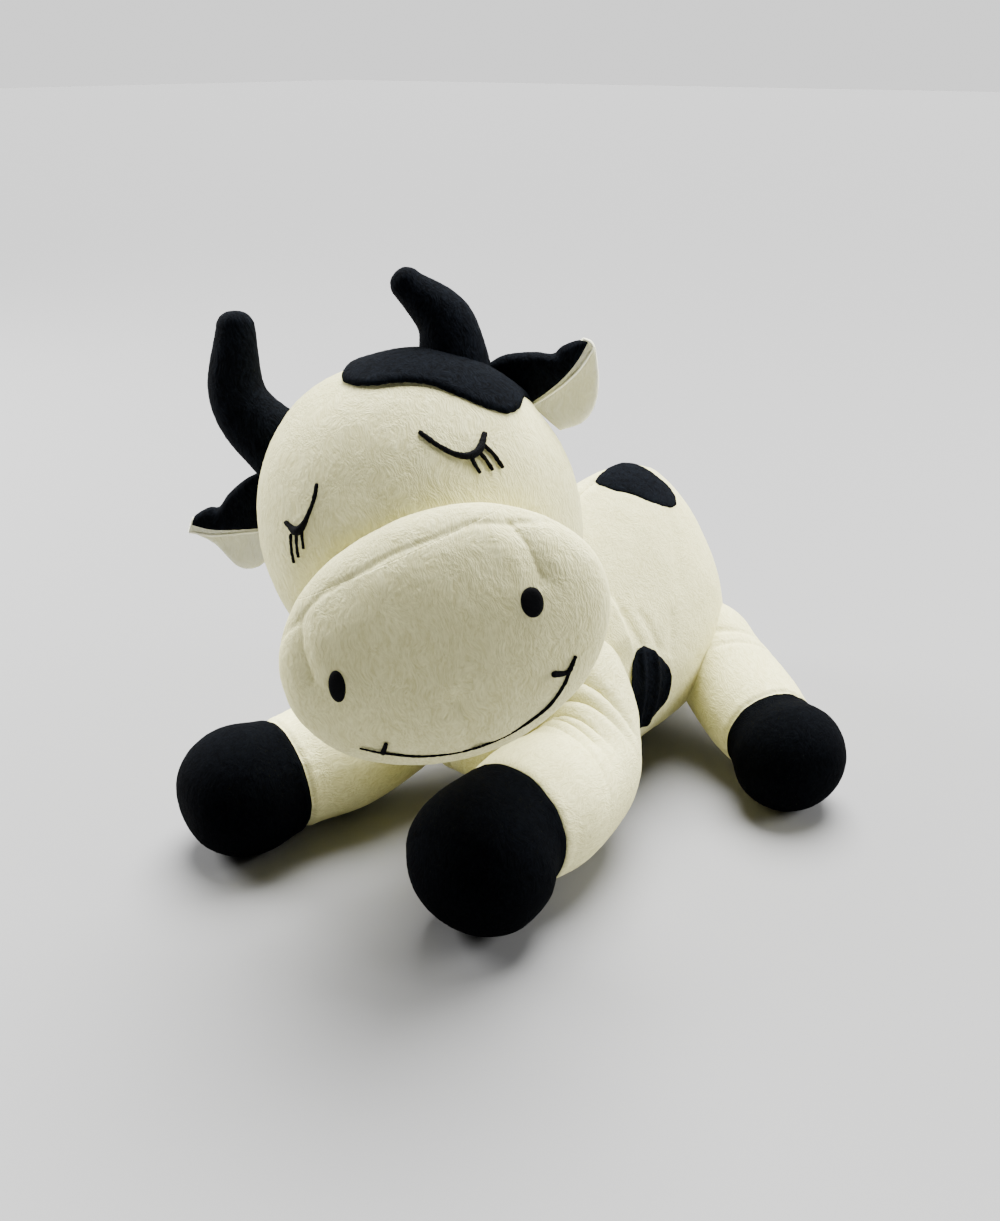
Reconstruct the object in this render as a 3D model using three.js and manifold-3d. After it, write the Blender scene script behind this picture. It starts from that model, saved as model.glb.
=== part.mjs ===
// A plush cow lying on its belly: sewn pile-fabric skins over polyester filling, and a squeaker.
// Millimetres, +Z up, +X is the cow's own left and -Y is the way it lies. The origin is on the floor
// under the middle of the belly. The head has a frame of its own: x to its left ear, y to its back
// and z to its crown, turned as the head lolls.
import * as THREE from 'three';
import { mergeVertices } from 'three/addons/utils/BufferGeometryUtils.js';
import Module from 'manifold-3d';

const wasm = await Module();
wasm.setup();

// Fabric and fits
const SKIN = 2.2;             // pile fabric, backing and pile together
const FIT = 0.3;              // between a piece and the one that carries it
const SWING_EASE = 3;         // degrees: a hollow leaves room for this much more than the swing
const FLAT_DEPTH = 0.5;       // how far the soft underside is pressed flat on the floor
const SEAM = 0.3;             // between two panels that are sewn edge to edge
const APPLIQUE = 1.2;         // a patch sewn on top of the skin
const THREAD = 1.1;           // half thickness of a line of satin stitching

// Torso, a loaf that is broad at the hips
const TORSO_FRONT = -118;
const TORSO_REAR = 102;
const TORSO_CORE = 60;        // height of its widest level
const SHOULDER_HALF_WIDTH = 56;
const HIP_HALF_WIDTH = 64;
const SHOULDER_TOP = 126;
const HIP_TOP = 158;
const END_FULLNESS = 2.1;     // how square the two ends are, seen from above and from the side
const BELLY_FULLNESS = 4.5;   // the same along the belly, which lies flat
const BACK_FULLNESS = 1.5;    // how square its section is above that level
const FLANK_FULLNESS = 2.5;   // and below it
const BELLY_SEAM = 13;        // height of the seam round the belly panel
const SHOULDER_SHARE = -0.8;  // of the half length from its middle: where it starts to widen
const HIP_SHARE = 0.7;        // and where it is at its widest

// Squeaker, in a pocket of the filling that opens to the belly panel
const BULB_RADIUS = 19;
const BULB_HEIGHT = 22;
const BULB_WALL = 1.4;
const BULB_WAIST = 0.86;      // of its radius, between and beside its two bellows
const BULB_MIDDLE = [0, 14];  // where it lies on the belly
const BULB_LIFT = 1.2;        // the belly curves up this much under its rim
const REED_RADIUS = 5.5;
const REED_FLANGE = 8.8;
const REED_LENGTH = 8;
const REED_BORE = 1.5;
const POCKET_ROOM = 1.5;      // the filling keeps this clear of the bulb

// Legs. Each one is a stuffed tube with a ball at its root, sewn into the torso.
const LEG_SWING = 12;         // degrees each way, on the floor
// Their hips lie this far in from the torso's ends and sides. Bends and toes are measured from them,
// and the third value of a bend is how high the leg passes over the floor there.
const FRONT_HIP_SETBACK = 56;
const FRONT_HIP_INSET = 16;
const FRONT_HIP_HEIGHT = 50;
const HIND_HIP_SETBACK = 46;
const HIND_HIP_INSET = 20;
const HIND_HIP_HEIGHT = 44;
const FRONT_LEFT_BENDS = [[16.5, -26.5, 6], [17, -85.5, 7]];
const FRONT_LEFT_TOE = [20.5, -114.5];
const FRONT_RIGHT_BENDS = [[-7.5, -50, 4]];
const FRONT_RIGHT_TOE = [-32.5, -141.5];
const HIND_BENDS = [[41, -25, 4.5]];
const HIND_TOE = [87, -58];
const TOE_SINK = 3.2;         // the hoof is let down this much at its toe, so it lies flat
const LEG_BALL = 26;
const LEG_NECK = 25.5;
const LEG_THIGH = 26.5;
const LEG_DOME = 13;
const STUFFING_HOLE = 0.6;    // of the ball's radius: how far behind the pivot its skin is open
const FRONT_CALF = 30;
const FRONT_HOOF = 31.5;
const HIND_CALF = 26.5;
const HIND_HOOF = 28.3;
const ANKLE = 0.93;           // of the calf's radius
const FRONT_HOOF_LENGTH = 39; // from its seam to where its face starts to round
const HIND_HOOF_LENGTH = 34;
const HOOF_FACE = 0.8;        // of the hoof's radius

// Tail, a rolled tube with a tuft, hanging from the rump
const TAIL_SETBACK = 12;      // of its root, from the torso's rear end
const TAIL_HEIGHT = 84;
const TAIL_BEND = [0, 19, -22];
const TAIL_END = [0, 28, -50];
const TAIL_BALL = 9;
const TAIL_NECK = 6;
const TAIL_RADIUS = 5;
const TUFT_RADIUS = 9.5;
const TUFT_LENGTH = 22;
const TUFT_DOME = 8;
const TAIL_SWING = 25;

// Head, on a neck that stands at the front of the torso and a little to the left
const NECK_SETBACK = 27;      // from the torso's front end
const NECK_SHIFT = 5;
const NECK_DROP = 12;         // of its pivot, below the shoulders' top
const NECK_BALL = 38;
const HEAD_FROM_NECK = [10.5, -58.4, 58.7];
const HEAD_YAW = 33.4;
const HEAD_PITCH = -8.8;
const HEAD_ROLL = -26.0;
const HEAD_HALF_WIDTH = 65.9;
const HEAD_HALF_DEPTH = 50;
const HEAD_HALF_HEIGHT = 69.4;
const HEAD_SEAM = 8;          // the side seam, behind the middle
const HEAD_NOD = 12;
const HEAD_ROOM = 2.6;        // the torso keeps this clear of the nodding head

// Muzzle, an oval cushion sewn on the face
const MUZZLE_DROP = -0.519;   // of the head's half height
const MUZZLE_FORWARD = -1.6;  // from the front of the head
const MUZZLE_HALF_WIDTH = 65.4;
const MUZZLE_HALF_DEPTH = 21.1;
const MUZZLE_HALF_HEIGHT = 47.5;
const MUZZLE_SEAM = 35;       // height of the seam under its top band, from its middle

// Embroidery, in the head's frame
const EYE_LINE = [[22, 34.5], [27, 28.5], [33, 22.5], [38.5, 21.5], [44, 25]];
const LASHES = [[[35.5, 21.5], [37.8, 14.5]], [[39, 21.5], [42, 12.8]], [[41.5, 22.5], [45.4, 12.2]]];
const LASH_THREAD = 0.7;
const MOUTH_LINE = [[-43, -24.5], [-35, -29], [-24, -34.5], [0, -38], [24, -34.5], [35, -28.5], [43, -24]];
const NOSTRIL_MIDDLE = [39.5, 2.7];
const NOSTRIL_HALF_WIDTH = 4.2;
const NOSTRIL_HALF_HEIGHT = 5.6;
const NOSTRIL_THREAD = 1.0;

// Horns, stuffed, sewn into the side seam of the head
const HORN_SEAT = [0.577, 0.16, 0.648]; // its root, in shares of the head's half sizes
const HORN_LEFT_BEND = [5.5, 0, 22.5];   // bends and tips from the root, towards the side the horn is on
const HORN_LEFT_TIP = [-1.5, -1, 42];
const HORN_RIGHT_BEND = [8.5, 0, 30];
const HORN_RIGHT_TIP = [-4, 1, 58];
const HORN_BALL = 15;
const HORN_NECK = 14.2;
const HORN_MIDDLE = 11.8;
const HORN_TAPER = 9.2;
const HORN_END = 7;
const HORN_DOME = 6.5;
const HORN_BENDING = 10;

// Ears: a black back and a cream lining, pinched at the root and folded over forwards on top.
// Each row is read from the root to the tip; heights are measured along the root seam.
const EAR_HEIGHT = 0.4035;    // of the head's half height: the middle of the root seam
const EAR_DEPTH = 0.2;        // of its half depth
const EAR_LEAN = 23.6;        // how far the root seam leans, following the side of the head
const EAR_LENGTH = 34;
const EAR_LAYER = 1.2;
const EAR_SWING = 25;
const EAR_CLEAR = 3;          // the forehead patch stops this far short of the slit
const EAR_LOWER_EDGE = [-18, -28, -26.5, -19, -8];
const EAR_FOLD_EDGE = [13, 13.2, 4.5, 0.5, -2.5];
const EAR_LIP_EDGE = [-3.5, -4, -4.5, -5.5, -7];
const EAR_FOLD_RADIUS = [1.9, 3.6, 4, 3, 1.9];

// Black patches, sewn on top of the skin
const FOREHEAD_EDGE = [[-2, 72], [3, 65.5], [13, 58.5], [24, 54], [33, 49], [40.5, 41.5], [48, 33], [56, 26],
  [72, 25]];
const BACK_PATCH = { middle: [13, 27, 143], halves: [18, 24, 22] };
const SIDE_PATCH = { middle: [60, -26, 56], halves: [17, 15, 26] };
const FLANK_PATCH = { middle: [-57, 30, 88], halves: [22, 34, 28] };

// How finely the round forms are faceted
const TORSO_SIDES = 20;
const TORSO_ROWS = 9;
const HEAD_SIDES = 20;
const HEAD_ROWS = 9;
const MUZZLE_ROWS = 6;
const SMALL_SIDES = 10;
const SMALL_ROWS = 5;
const LEG_SIDES = 12;
const HORN_SIDES = 8;
const TAIL_SIDES = 8;
const THREAD_SIDES = 5;
const THREAD_STEPS = 6;
const NECK_SIDES = 16;
const NECK_ROWS = 7;
const ROUND_SIDES = 12;
const EDGE_STEPS = 12;
const EAR_BACK_SHARES = [0, 0.33, 0.67];
const EAR_FOLD_TURNS = [0, 45, 90, 135, 180].map(THREE.MathUtils.degToRad);
const EAR_LIP_SHARES = [0.5, 1];

// Finishes
const CREAM = new THREE.MeshStandardMaterial({ color: 0xe9e4d3, roughness: 0.95, metalness: 0 });
const BLACK = new THREE.MeshStandardMaterial({ color: 0x171a21, roughness: 0.92, metalness: 0 });
const STITCH = new THREE.MeshStandardMaterial({ color: 0x15161a, roughness: 0.55, metalness: 0 });
const FILLING = new THREE.MeshStandardMaterial({ color: 0xf4f4f0, roughness: 1, metalness: 0 });
const SQUEAKER = new THREE.MeshStandardMaterial({ color: 0xf2efe4, roughness: 0.4, metalness: 0 });

const vector = (place) => new THREE.Vector3(...place);
const mirrored = ([x, ...rest]) => [-x, ...rest];
const plus = (place, step) => place.map((value, axis) => value + step[axis]);

// Turns a closed geometry into a solid that can be joined and cut.
function toSolid(geometry) {
  const bare = geometry.clone();
  bare.deleteAttribute('normal');
  bare.deleteAttribute('uv');
  const merged = mergeVertices(bare, 1e-4);
  const corners = merged.index.array;
  const kept = [];
  for (let i = 0; i < corners.length; i += 3) {
    const [a, b, c] = [corners[i], corners[i + 1], corners[i + 2]];
    if (a !== b && b !== c && c !== a) kept.push(a, b, c);
  }
  const vertProperties = new Float32Array(merged.attributes.position.array);
  return new wasm.Manifold(new wasm.Mesh({ numProp: 3, vertProperties, triVerts: new Uint32Array(kept) }));
}

function toGeometry(solid) {
  const mesh = solid.getMesh();
  const geometry = new THREE.BufferGeometry();
  geometry.setAttribute('position', new THREE.BufferAttribute(new Float32Array(mesh.vertProperties), 3));
  geometry.setIndex(Array.from(mesh.triVerts));
  return geometry;
}

// Joins rows of points, each row a ring, into one closed form with a single point at each end.
function closedForm(first, rows, last) {
  const sides = rows[0].length;
  const points = [first, ...rows.flat(), last];
  const at = (row, side) => 1 + row * sides + (side % sides);
  const index = [];
  for (let side = 0; side < sides; side += 1) {
    index.push(0, at(0, side + 1), at(0, side));
    for (let row = 0; row + 1 < rows.length; row += 1) {
      index.push(at(row, side), at(row, side + 1), at(row + 1, side + 1));
      index.push(at(row, side), at(row + 1, side + 1), at(row + 1, side));
    }
    index.push(points.length - 1, at(rows.length - 1, side), at(rows.length - 1, side + 1));
  }
  const geometry = new THREE.BufferGeometry().setFromPoints(points);
  geometry.setIndex(index);
  return toSolid(geometry);
}

// Joins two sheets of points, one above the other, into one closed layer.
function closedLayer(top, bottom) {
  const rows = top.length;
  const columns = top[0].length;
  const points = [...top.flat(), ...bottom.flat()];
  const upper = (row, column) => row * columns + column;
  const lower = (row, column) => rows * columns + upper(row, column);
  const index = [];
  const quad = (a, b, c, d) => index.push(a, b, c, a, c, d);
  for (let row = 0; row + 1 < rows; row += 1) {
    const next = row + 1;
    for (let column = 0; column + 1 < columns; column += 1) {
      quad(upper(row, column), upper(next, column), upper(next, column + 1), upper(row, column + 1));
      quad(lower(row, column), lower(row, column + 1), lower(next, column + 1), lower(next, column));
    }
    const end = columns - 1;
    quad(upper(row, 0), lower(row, 0), lower(next, 0), upper(next, 0));
    quad(upper(row, end), upper(next, end), lower(next, end), lower(row, end));
  }
  const last = rows - 1;
  for (let column = 0; column + 1 < columns; column += 1) {
    const next = column + 1;
    quad(upper(0, column), upper(0, next), lower(0, next), lower(0, column));
    quad(upper(last, column), lower(last, column), lower(last, next), upper(last, next));
  }
  const geometry = new THREE.BufferGeometry().setFromPoints(points);
  geometry.setIndex(index);
  return outward(geometry);
}

// Turns the faces of a closed geometry outwards, whichever way they face.
function outward(geometry) {
  const solid = toSolid(geometry);
  return solid.volume() > 0 ? solid : flipped(geometry);
}

function flipped(geometry) {
  const corners = geometry.index.array;
  const turned = [];
  for (let i = 0; i < corners.length; i += 3) turned.push(corners[i], corners[i + 2], corners[i + 1]);
  const other = geometry.clone();
  other.setIndex(turned);
  return toSolid(other);
}

// Cuts. Each keeps the side that the direction points to.
const keep = (solid, direction, distance) => solid.trimByPlane(direction, distance);
const above = (solid, height) => keep(solid, [0, 0, 1], height);
const below = (solid, height) => keep(solid, [0, 0, -1], -height);
const leftOf = (solid, x) => keep(solid, [1, 0, 0], x);
const rightOf = (solid, x) => keep(solid, [-1, 0, 0], -x);
const behind = (solid, y) => keep(solid, [0, 1, 0], y);
const inFrontOf = (solid, y) => keep(solid, [0, -1, 0], -y);
const cutBy = (solid, cutters) => cutters.reduce((left, cutter) => left.subtract(cutter), solid);

// The place of the head in the toy
const NECK_PIVOT = [NECK_SHIFT, TORSO_FRONT + NECK_SETBACK, SHOULDER_TOP - NECK_DROP];
const headPlace = new THREE.Matrix4().compose(
  vector(plus(NECK_PIVOT, HEAD_FROM_NECK)),
  new THREE.Quaternion().setFromEuler(new THREE.Euler(
    THREE.MathUtils.degToRad(HEAD_PITCH),
    THREE.MathUtils.degToRad(HEAD_ROLL),
    THREE.MathUtils.degToRad(HEAD_YAW),
    'ZXY',
  )),
  new THREE.Vector3(1, 1, 1),
);
const neckInHead = vector(NECK_PIVOT).applyMatrix4(headPlace.clone().invert());

const BALL_STEP = THREE.MathUtils.degToRad(20);
const BALL_TURNS = [8, 7, 6, 5].map((step) => step * BALL_STEP);
const DOME_TURNS = [35, 65].map(THREE.MathUtils.degToRad);
const MIDDLE = [0, 0, 0];

// A number raised to a power, with its sign kept
const powered = (value, power) => Math.sign(value) * Math.abs(value) ** power;
const fullness = (share, power) => Math.max(1 - Math.abs(share) ** power, 0) ** (1 / power);

// The torso, grown by a margin: less than zero gives what fits inside it.
function torsoForm(grow) {
  const half = (TORSO_REAR - TORSO_FRONT) / 2;
  const middle = (TORSO_REAR + TORSO_FRONT) / 2;
  const rows = [];
  for (let row = 1; row <= TORSO_ROWS; row += 1) {
    const share = -Math.cos((Math.PI * row) / (TORSO_ROWS + 1));
    const hips = THREE.MathUtils.smoothstep(share, SHOULDER_SHARE, HIP_SHARE);
    const wide = THREE.MathUtils.lerp(SHOULDER_HALF_WIDTH, HIP_HALF_WIDTH, hips) + grow;
    const top = THREE.MathUtils.lerp(SHOULDER_TOP, HIP_TOP, hips) - TORSO_CORE + grow;
    const bottom = TORSO_CORE + FLAT_DEPTH + grow;
    const ring = [];
    for (let side = 0; side < TORSO_SIDES; side += 1) {
      const turn = (2 * Math.PI * side) / TORSO_SIDES;
      const over = Math.sin(turn) > 0;
      const square = over ? BACK_FULLNESS : FLANK_FULLNESS;
      const height = over ? top * fullness(share, END_FULLNESS) : bottom * fullness(share, BELLY_FULLNESS);
      ring.push(new THREE.Vector3(
        wide * fullness(share, END_FULLNESS) * powered(Math.cos(turn), 2 / square),
        middle + (half + grow) * share,
        TORSO_CORE + height * powered(Math.sin(turn), 2 / square),
      ));
    }
    rows.push(ring.reverse());
  }
  return closedForm(
    new THREE.Vector3(0, TORSO_FRONT - grow, TORSO_CORE),
    rows,
    new THREE.Vector3(0, TORSO_REAR + grow, TORSO_CORE),
  );
}

// An oval cushion, grown by a margin
function cushion(centre, halves, grow, rowCount, sides) {
  const [a, b, c] = halves.map((half) => half + grow);
  const rows = [];
  for (let row = 1; row <= rowCount; row += 1) {
    const rise = (Math.PI * row) / (rowCount + 1);
    const ring = [];
    for (let side = 0; side < sides; side += 1) {
      const turn = (2 * Math.PI * side) / sides;
      ring.push(new THREE.Vector3(
        centre[0] + a * Math.sin(rise) * Math.cos(turn),
        centre[1] + b * Math.sin(rise) * Math.sin(turn),
        centre[2] - c * Math.cos(rise),
      ));
    }
    rows.push(ring);
  }
  return closedForm(
    new THREE.Vector3(centre[0], centre[1], centre[2] - c),
    rows,
    new THREE.Vector3(centre[0], centre[1], centre[2] + c),
  );
}

const HEAD_HALVES = [HEAD_HALF_WIDTH, HEAD_HALF_DEPTH, HEAD_HALF_HEIGHT];
const headForm = (grow) => cushion(MIDDLE, HEAD_HALVES, grow, HEAD_ROWS, HEAD_SIDES);
const MUZZLE_CENTRE = [0, MUZZLE_FORWARD - HEAD_HALF_DEPTH, MUZZLE_DROP * HEAD_HALF_HEIGHT];
const MUZZLE_HALVES = [MUZZLE_HALF_WIDTH, MUZZLE_HALF_DEPTH, MUZZLE_HALF_HEIGHT];
const muzzleForm = (grow) => cushion(MUZZLE_CENTRE, MUZZLE_HALVES, grow, MUZZLE_ROWS, HEAD_SIDES);
const smallCushion = (centre, halves) => cushion(centre, halves, 0, SMALL_ROWS, SMALL_SIDES);

// A stuffed limb runs from the pivot in its ball along a curve, and swells and tapers by its stops,
// each a share of the way and a radius. Its rings lie square to the path, turned by an upright.
function limb(places, ball, stops, dome, sides, upright) {
  const path = new THREE.CatmullRomCurve3(places.map(vector));
  return { path, length: path.getLength(), ball, stops, dome, sides, upright: vector(upright) };
}

function placeOnPath({ path, length }, distance) {
  const share = THREE.MathUtils.clamp(distance / length, 0, 1);
  const direction = path.getTangentAt(share);
  return { centre: path.getPointAt(share).addScaledVector(direction, distance - share * length), direction };
}

// The rings along a limb, each a distance from the pivot and a radius
function limbProfile({ length, ball, stops, dome }, margin) {
  const back = ball + margin(0);
  const profile = BALL_TURNS.map((turn) => [back * Math.cos(turn), back * Math.sin(turn)]);
  for (const [share, radius] of stops) {
    profile.push([share * length, radius + margin(share * length)]);
  }
  const [reach, girth] = profile.at(-1);
  for (const turn of DOME_TURNS) {
    profile.push([reach + (dome + margin(0)) * Math.sin(turn), girth * Math.cos(turn)]);
  }
  return { start: -back, profile, end: reach + dome + margin(0) };
}

function limbFrom(shape, { start, profile, end }, phase) {
  const { sides } = shape;
  const rows = profile.map(([distance, radius]) => {
    const { centre, direction } = placeOnPath(shape, distance);
    const across = shape.upright.clone().cross(direction).normalize();
    const upwards = direction.clone().cross(across);
    return Array.from({ length: sides }, (_, side) => {
      const turn = (2 * Math.PI * (side + phase)) / sides;
      return centre.clone()
        .addScaledVector(across, radius * Math.cos(turn))
        .addScaledVector(upwards, radius * Math.sin(turn));
    });
  });
  return closedForm(placeOnPath(shape, start).centre, rows, placeOnPath(shape, end).centre);
}

const limbForm = (shape, grow = 0) => limbFrom(shape, limbProfile(shape, () => grow), 0);

// How much wider a faceted hollow has to be than the round form that turns in it
const facetRoom = (sides, step) => 1 / Math.cos(Math.PI / sides) / Math.cos(step / 2);

// The hollow that a limb swings in, flared by the swing. Its facets stand clear of the round ball.
function limbSocket(shape, degrees) {
  const flare = Math.sin(THREE.MathUtils.degToRad(degrees + SWING_EASE));
  const { profile, end } = limbProfile(shape, (distance) => FIT + flare * distance);
  const spread = facetRoom(shape.sides, BALL_STEP);
  const roomy = profile.map(([distance, radius]) => [
    distance < 0 ? distance * spread : distance,
    radius * spread,
  ]);
  return limbFrom(shape, { start: -(shape.ball + FIT) * spread, profile: roomy, end }, 0.5);
}

// Parts a limb's shell square to its path, at a distance from its pivot.
function partAt(solid, shape, distance, gap) {
  const { centre, direction } = placeOnPath(shape, distance);
  const along = direction.dot(centre);
  return {
    inner: keep(solid, direction.clone().negate().toArray(), -(along - gap / 2)),
    outer: keep(solid, direction.toArray(), along + gap / 2),
  };
}

function piece(name, solid, material) {
  const mesh = new THREE.Mesh(toGeometry(solid), material);
  mesh.name = name;
  return mesh;
}

const UPRIGHT = [0, 0, 1];
const FORWARD = [0, 1, 0];

// Legs
const FRONT_HIP = [SHOULDER_HALF_WIDTH - FRONT_HIP_INSET, TORSO_FRONT + FRONT_HIP_SETBACK, FRONT_HIP_HEIGHT];
const HIND_HIP = [HIP_HALF_WIDTH - HIND_HIP_INSET, TORSO_REAR - HIND_HIP_SETBACK, HIND_HIP_HEIGHT];

function leg(name, hip, bends, toe, calf, hoof, hoofLength) {
  const onFloor = ([x, y], height) => [hip[0] + x, hip[1] + y, height];
  const knees = bends.map((bend) => onFloor(bend, calf + bend[2]));
  const places = [hip, ...knees, onFloor(toe, hoof - TOE_SINK)];
  const stops = [[0, LEG_BALL], [0.14, LEG_NECK], [0.3, LEG_THIGH], [0.52, calf], [0.72, calf * ANKLE],
    [0.88, hoof], [1, hoof * HOOF_FACE]];
  return { name, hoofLength, shape: limb(places, LEG_BALL, stops, LEG_DOME, LEG_SIDES, UPRIGHT) };
}

const FRONT_SIZES = [FRONT_CALF, FRONT_HOOF, FRONT_HOOF_LENGTH];
const HIND_SIZES = [HIND_CALF, HIND_HOOF, HIND_HOOF_LENGTH];

const legs = [
  leg('front_left', FRONT_HIP, FRONT_LEFT_BENDS, FRONT_LEFT_TOE, ...FRONT_SIZES),
  leg('front_right', mirrored(FRONT_HIP), FRONT_RIGHT_BENDS, FRONT_RIGHT_TOE, ...FRONT_SIZES),
  leg('hind_left', HIND_HIP, HIND_BENDS, HIND_TOE, ...HIND_SIZES),
  leg('hind_right', mirrored(HIND_HIP), HIND_BENDS.map(mirrored), mirrored(HIND_TOE), ...HIND_SIZES),
];

function legPieces({ name, hoofLength, shape }) {
  const shell = above(limbForm(shape), 0).subtract(limbForm(shape, -SKIN));
  const open = partAt(shell, shape, -STUFFING_HOLE * shape.ball, 0).outer;
  const { inner, outer } = partAt(open, shape, shape.length - hoofLength, SEAM);
  return [
    piece(`${name}_leg_skin`, inner, CREAM),
    piece(`${name}_hoof`, outer, BLACK),
    piece(`${name}_leg_filling`, limbForm(shape, -SKIN - FIT), FILLING),
  ];
}

// Tail
const TAIL_ROOT = [0, TORSO_REAR - TAIL_SETBACK, TAIL_HEIGHT];
const tail = limb(
  [TAIL_ROOT, plus(TAIL_ROOT, TAIL_BEND), plus(TAIL_ROOT, TAIL_END)],
  TAIL_BALL,
  [[0, TAIL_BALL], [0.3, TAIL_NECK], [0.6, TAIL_RADIUS], [0.72, TUFT_RADIUS], [1, TUFT_RADIUS]],
  TUFT_DOME,
  TAIL_SIDES,
  FORWARD,
);

function tailPieces() {
  const { inner, outer } = partAt(limbForm(tail), tail, tail.length - TUFT_LENGTH, SEAM);
  return [piece('tail', inner, CREAM), piece('tail_tuft', outer, BLACK)];
}

// The neck is a stuffed ball at the back of the head, set in a hollow of the torso. The torso is
// also cut back where the head comes down on it as it nods.
const headAxis = new THREE.Vector3(1, 0, 0).transformDirection(headPlace);
const ball = (centre, radius) => cushion(centre, [radius, radius, radius], 0, NECK_ROWS, NECK_SIDES);

function headRoom() {
  const room = ball(NECK_PIVOT, (NECK_BALL + FIT) * facetRoom(NECK_SIDES, Math.PI / (NECK_ROWS + 1)));
  const turns = [-1, 0, 1].map((way) => THREE.MathUtils.degToRad(way * HEAD_NOD));
  return turns.reduce((solid, turn) => {
    const nod = new THREE.Matrix4().makeTranslation(vector(NECK_PIVOT))
      .multiply(new THREE.Matrix4().makeRotationAxis(headAxis, turn))
      .multiply(new THREE.Matrix4().makeTranslation(vector(NECK_PIVOT).negate()))
      .multiply(headPlace);
    return solid.add(headForm(HEAD_ROOM).transform(nod.elements));
  }, room);
}

// Torso
function patch(name, form, { middle, halves }, cutters) {
  const layer = form(FIT + APPLIQUE).subtract(form(FIT));
  return piece(name, cutBy(layer.intersect(smallCushion(middle, halves)), cutters), BLACK);
}

function torsoPieces() {
  const sockets = legs.map(({ shape }) => limbSocket(shape, LEG_SWING));
  sockets.push(limbSocket(tail, TAIL_SWING), headRoom());
  const shell = cutBy(above(torsoForm(0), 0).subtract(torsoForm(-SKIN)), sockets);
  const upper = above(shell, BELLY_SEAM);
  const pocketRadius = BULB_RADIUS + POCKET_ROOM;
  const pocketTop = SKIN + FIT + BULB_LIFT + BULB_HEIGHT + REED_LENGTH + POCKET_ROOM;
  const pocket = upright(BULB_MIDDLE, pocketRadius, 0, pocketTop);
  return [
    piece('body_panel_left', leftOf(upper, SEAM / 2), CREAM),
    piece('body_panel_right', rightOf(upper, -SEAM / 2), CREAM),
    piece('belly_panel', below(shell, BELLY_SEAM - SEAM), CREAM),
    piece('body_filling', cutBy(torsoForm(-SKIN - FIT), [...sockets, pocket]), FILLING),
    patch('back_patch', torsoForm, BACK_PATCH, sockets),
    patch('side_patch', torsoForm, SIDE_PATCH, sockets),
    patch('flank_patch', torsoForm, FLANK_PATCH, sockets),
  ];
}

// An upright round solid between two heights
function upright([x, y], radius, low, high) {
  const geometry = new THREE.CylinderGeometry(radius, radius, high - low, ROUND_SIDES);
  geometry.rotateX(Math.PI / 2);
  geometry.translate(x, y, (low + high) / 2);
  return toSolid(geometry);
}

// The squeaker is a soft drum with a reed plugged into its top.
function squeakerPieces() {
  const low = SKIN + FIT + BULB_LIFT;
  const inside = BULB_RADIUS - BULB_WALL;
  const waist = BULB_RADIUS * BULB_WAIST;
  const hole = REED_RADIUS + FIT;
  const ceiling = BULB_HEIGHT - BULB_WALL;
  const inner = waist - BULB_WALL;
  const [lowBellow, middle, highBellow] = [1, 2, 3].map((quarter) => (quarter / 4) * BULB_HEIGHT);
  const outline = [
    [0, 0], [waist, 0], [BULB_RADIUS, lowBellow], [waist, middle], [BULB_RADIUS, highBellow],
    [waist, BULB_HEIGHT], [hole, BULB_HEIGHT], [hole, ceiling], [inner, ceiling], [inside, highBellow],
    [inner, middle], [inside, lowBellow], [inner, BULB_WALL], [0, BULB_WALL],
  ];
  const toPoint = ([radius, height]) => new THREE.Vector2(radius, height);
  const turned = (line) => new THREE.LatheGeometry(line.map(toPoint), ROUND_SIDES);
  const bulb = turned(outline);
  const foot = BULB_HEIGHT + FIT;
  const reedLow = foot - REED_LENGTH;
  const reedTop = foot + BULB_WALL;
  const reed = turned([
    [REED_BORE, reedLow], [REED_RADIUS, reedLow], [REED_RADIUS, foot], [REED_FLANGE, foot],
    [REED_FLANGE, reedTop], [REED_BORE, reedTop], [REED_BORE, reedLow],
  ]);
  for (const geometry of [bulb, reed]) {
    geometry.rotateX(Math.PI / 2);
    geometry.translate(BULB_MIDDLE[0], BULB_MIDDLE[1], low);
  }
  return [piece('squeaker_bulb', outward(bulb), SQUEAKER), piece('squeaker_reed', outward(reed), SQUEAKER)];
}

// Horns
const HORN_ROOT = HORN_SEAT.map((share, axis) => share * HEAD_HALVES[axis]);

function horn(name, bend, tip, mirror) {
  const path = [HORN_ROOT, plus(HORN_ROOT, bend), plus(HORN_ROOT, tip)];
  const places = mirror ? path.map(mirrored) : path;
  const stops = [[0, HORN_BALL], [0.2, HORN_NECK], [0.5, HORN_MIDDLE], [0.75, HORN_TAPER], [1, HORN_END]];
  return { name, shape: limb(places, HORN_BALL, stops, HORN_DOME, HORN_SIDES, FORWARD) };
}

const horns = [
  horn('left_horn', HORN_LEFT_BEND, HORN_LEFT_TIP, false),
  horn('right_horn', HORN_RIGHT_BEND, HORN_RIGHT_TIP, true),
];

function hornPieces({ name, shape }) {
  const shell = limbForm(shape).subtract(limbForm(shape, -SKIN));
  return [
    piece(`${name}_skin`, partAt(shell, shape, -STUFFING_HOLE * shape.ball, 0).outer, BLACK),
    piece(`${name}_filling`, limbForm(shape, -SKIN - FIT), FILLING),
  ];
}

// Where a height and a sideways place meet the front or back of an oval cushion
function onCushion(centre, halves, x, z, margin, way) {
  const [a, b, c] = halves;
  const place = new THREE.Vector3(x, 0, z - centre[2]);
  place.y = way * b * Math.sqrt(Math.max(1 - (place.x / a) ** 2 - (place.z / c) ** 2, 0));
  const normal = new THREE.Vector3(place.x / a ** 2, place.y / b ** 2, place.z / c ** 2).normalize();
  return place.addScaledVector(normal, margin).add(new THREE.Vector3(0, centre[1], centre[2]));
}

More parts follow.
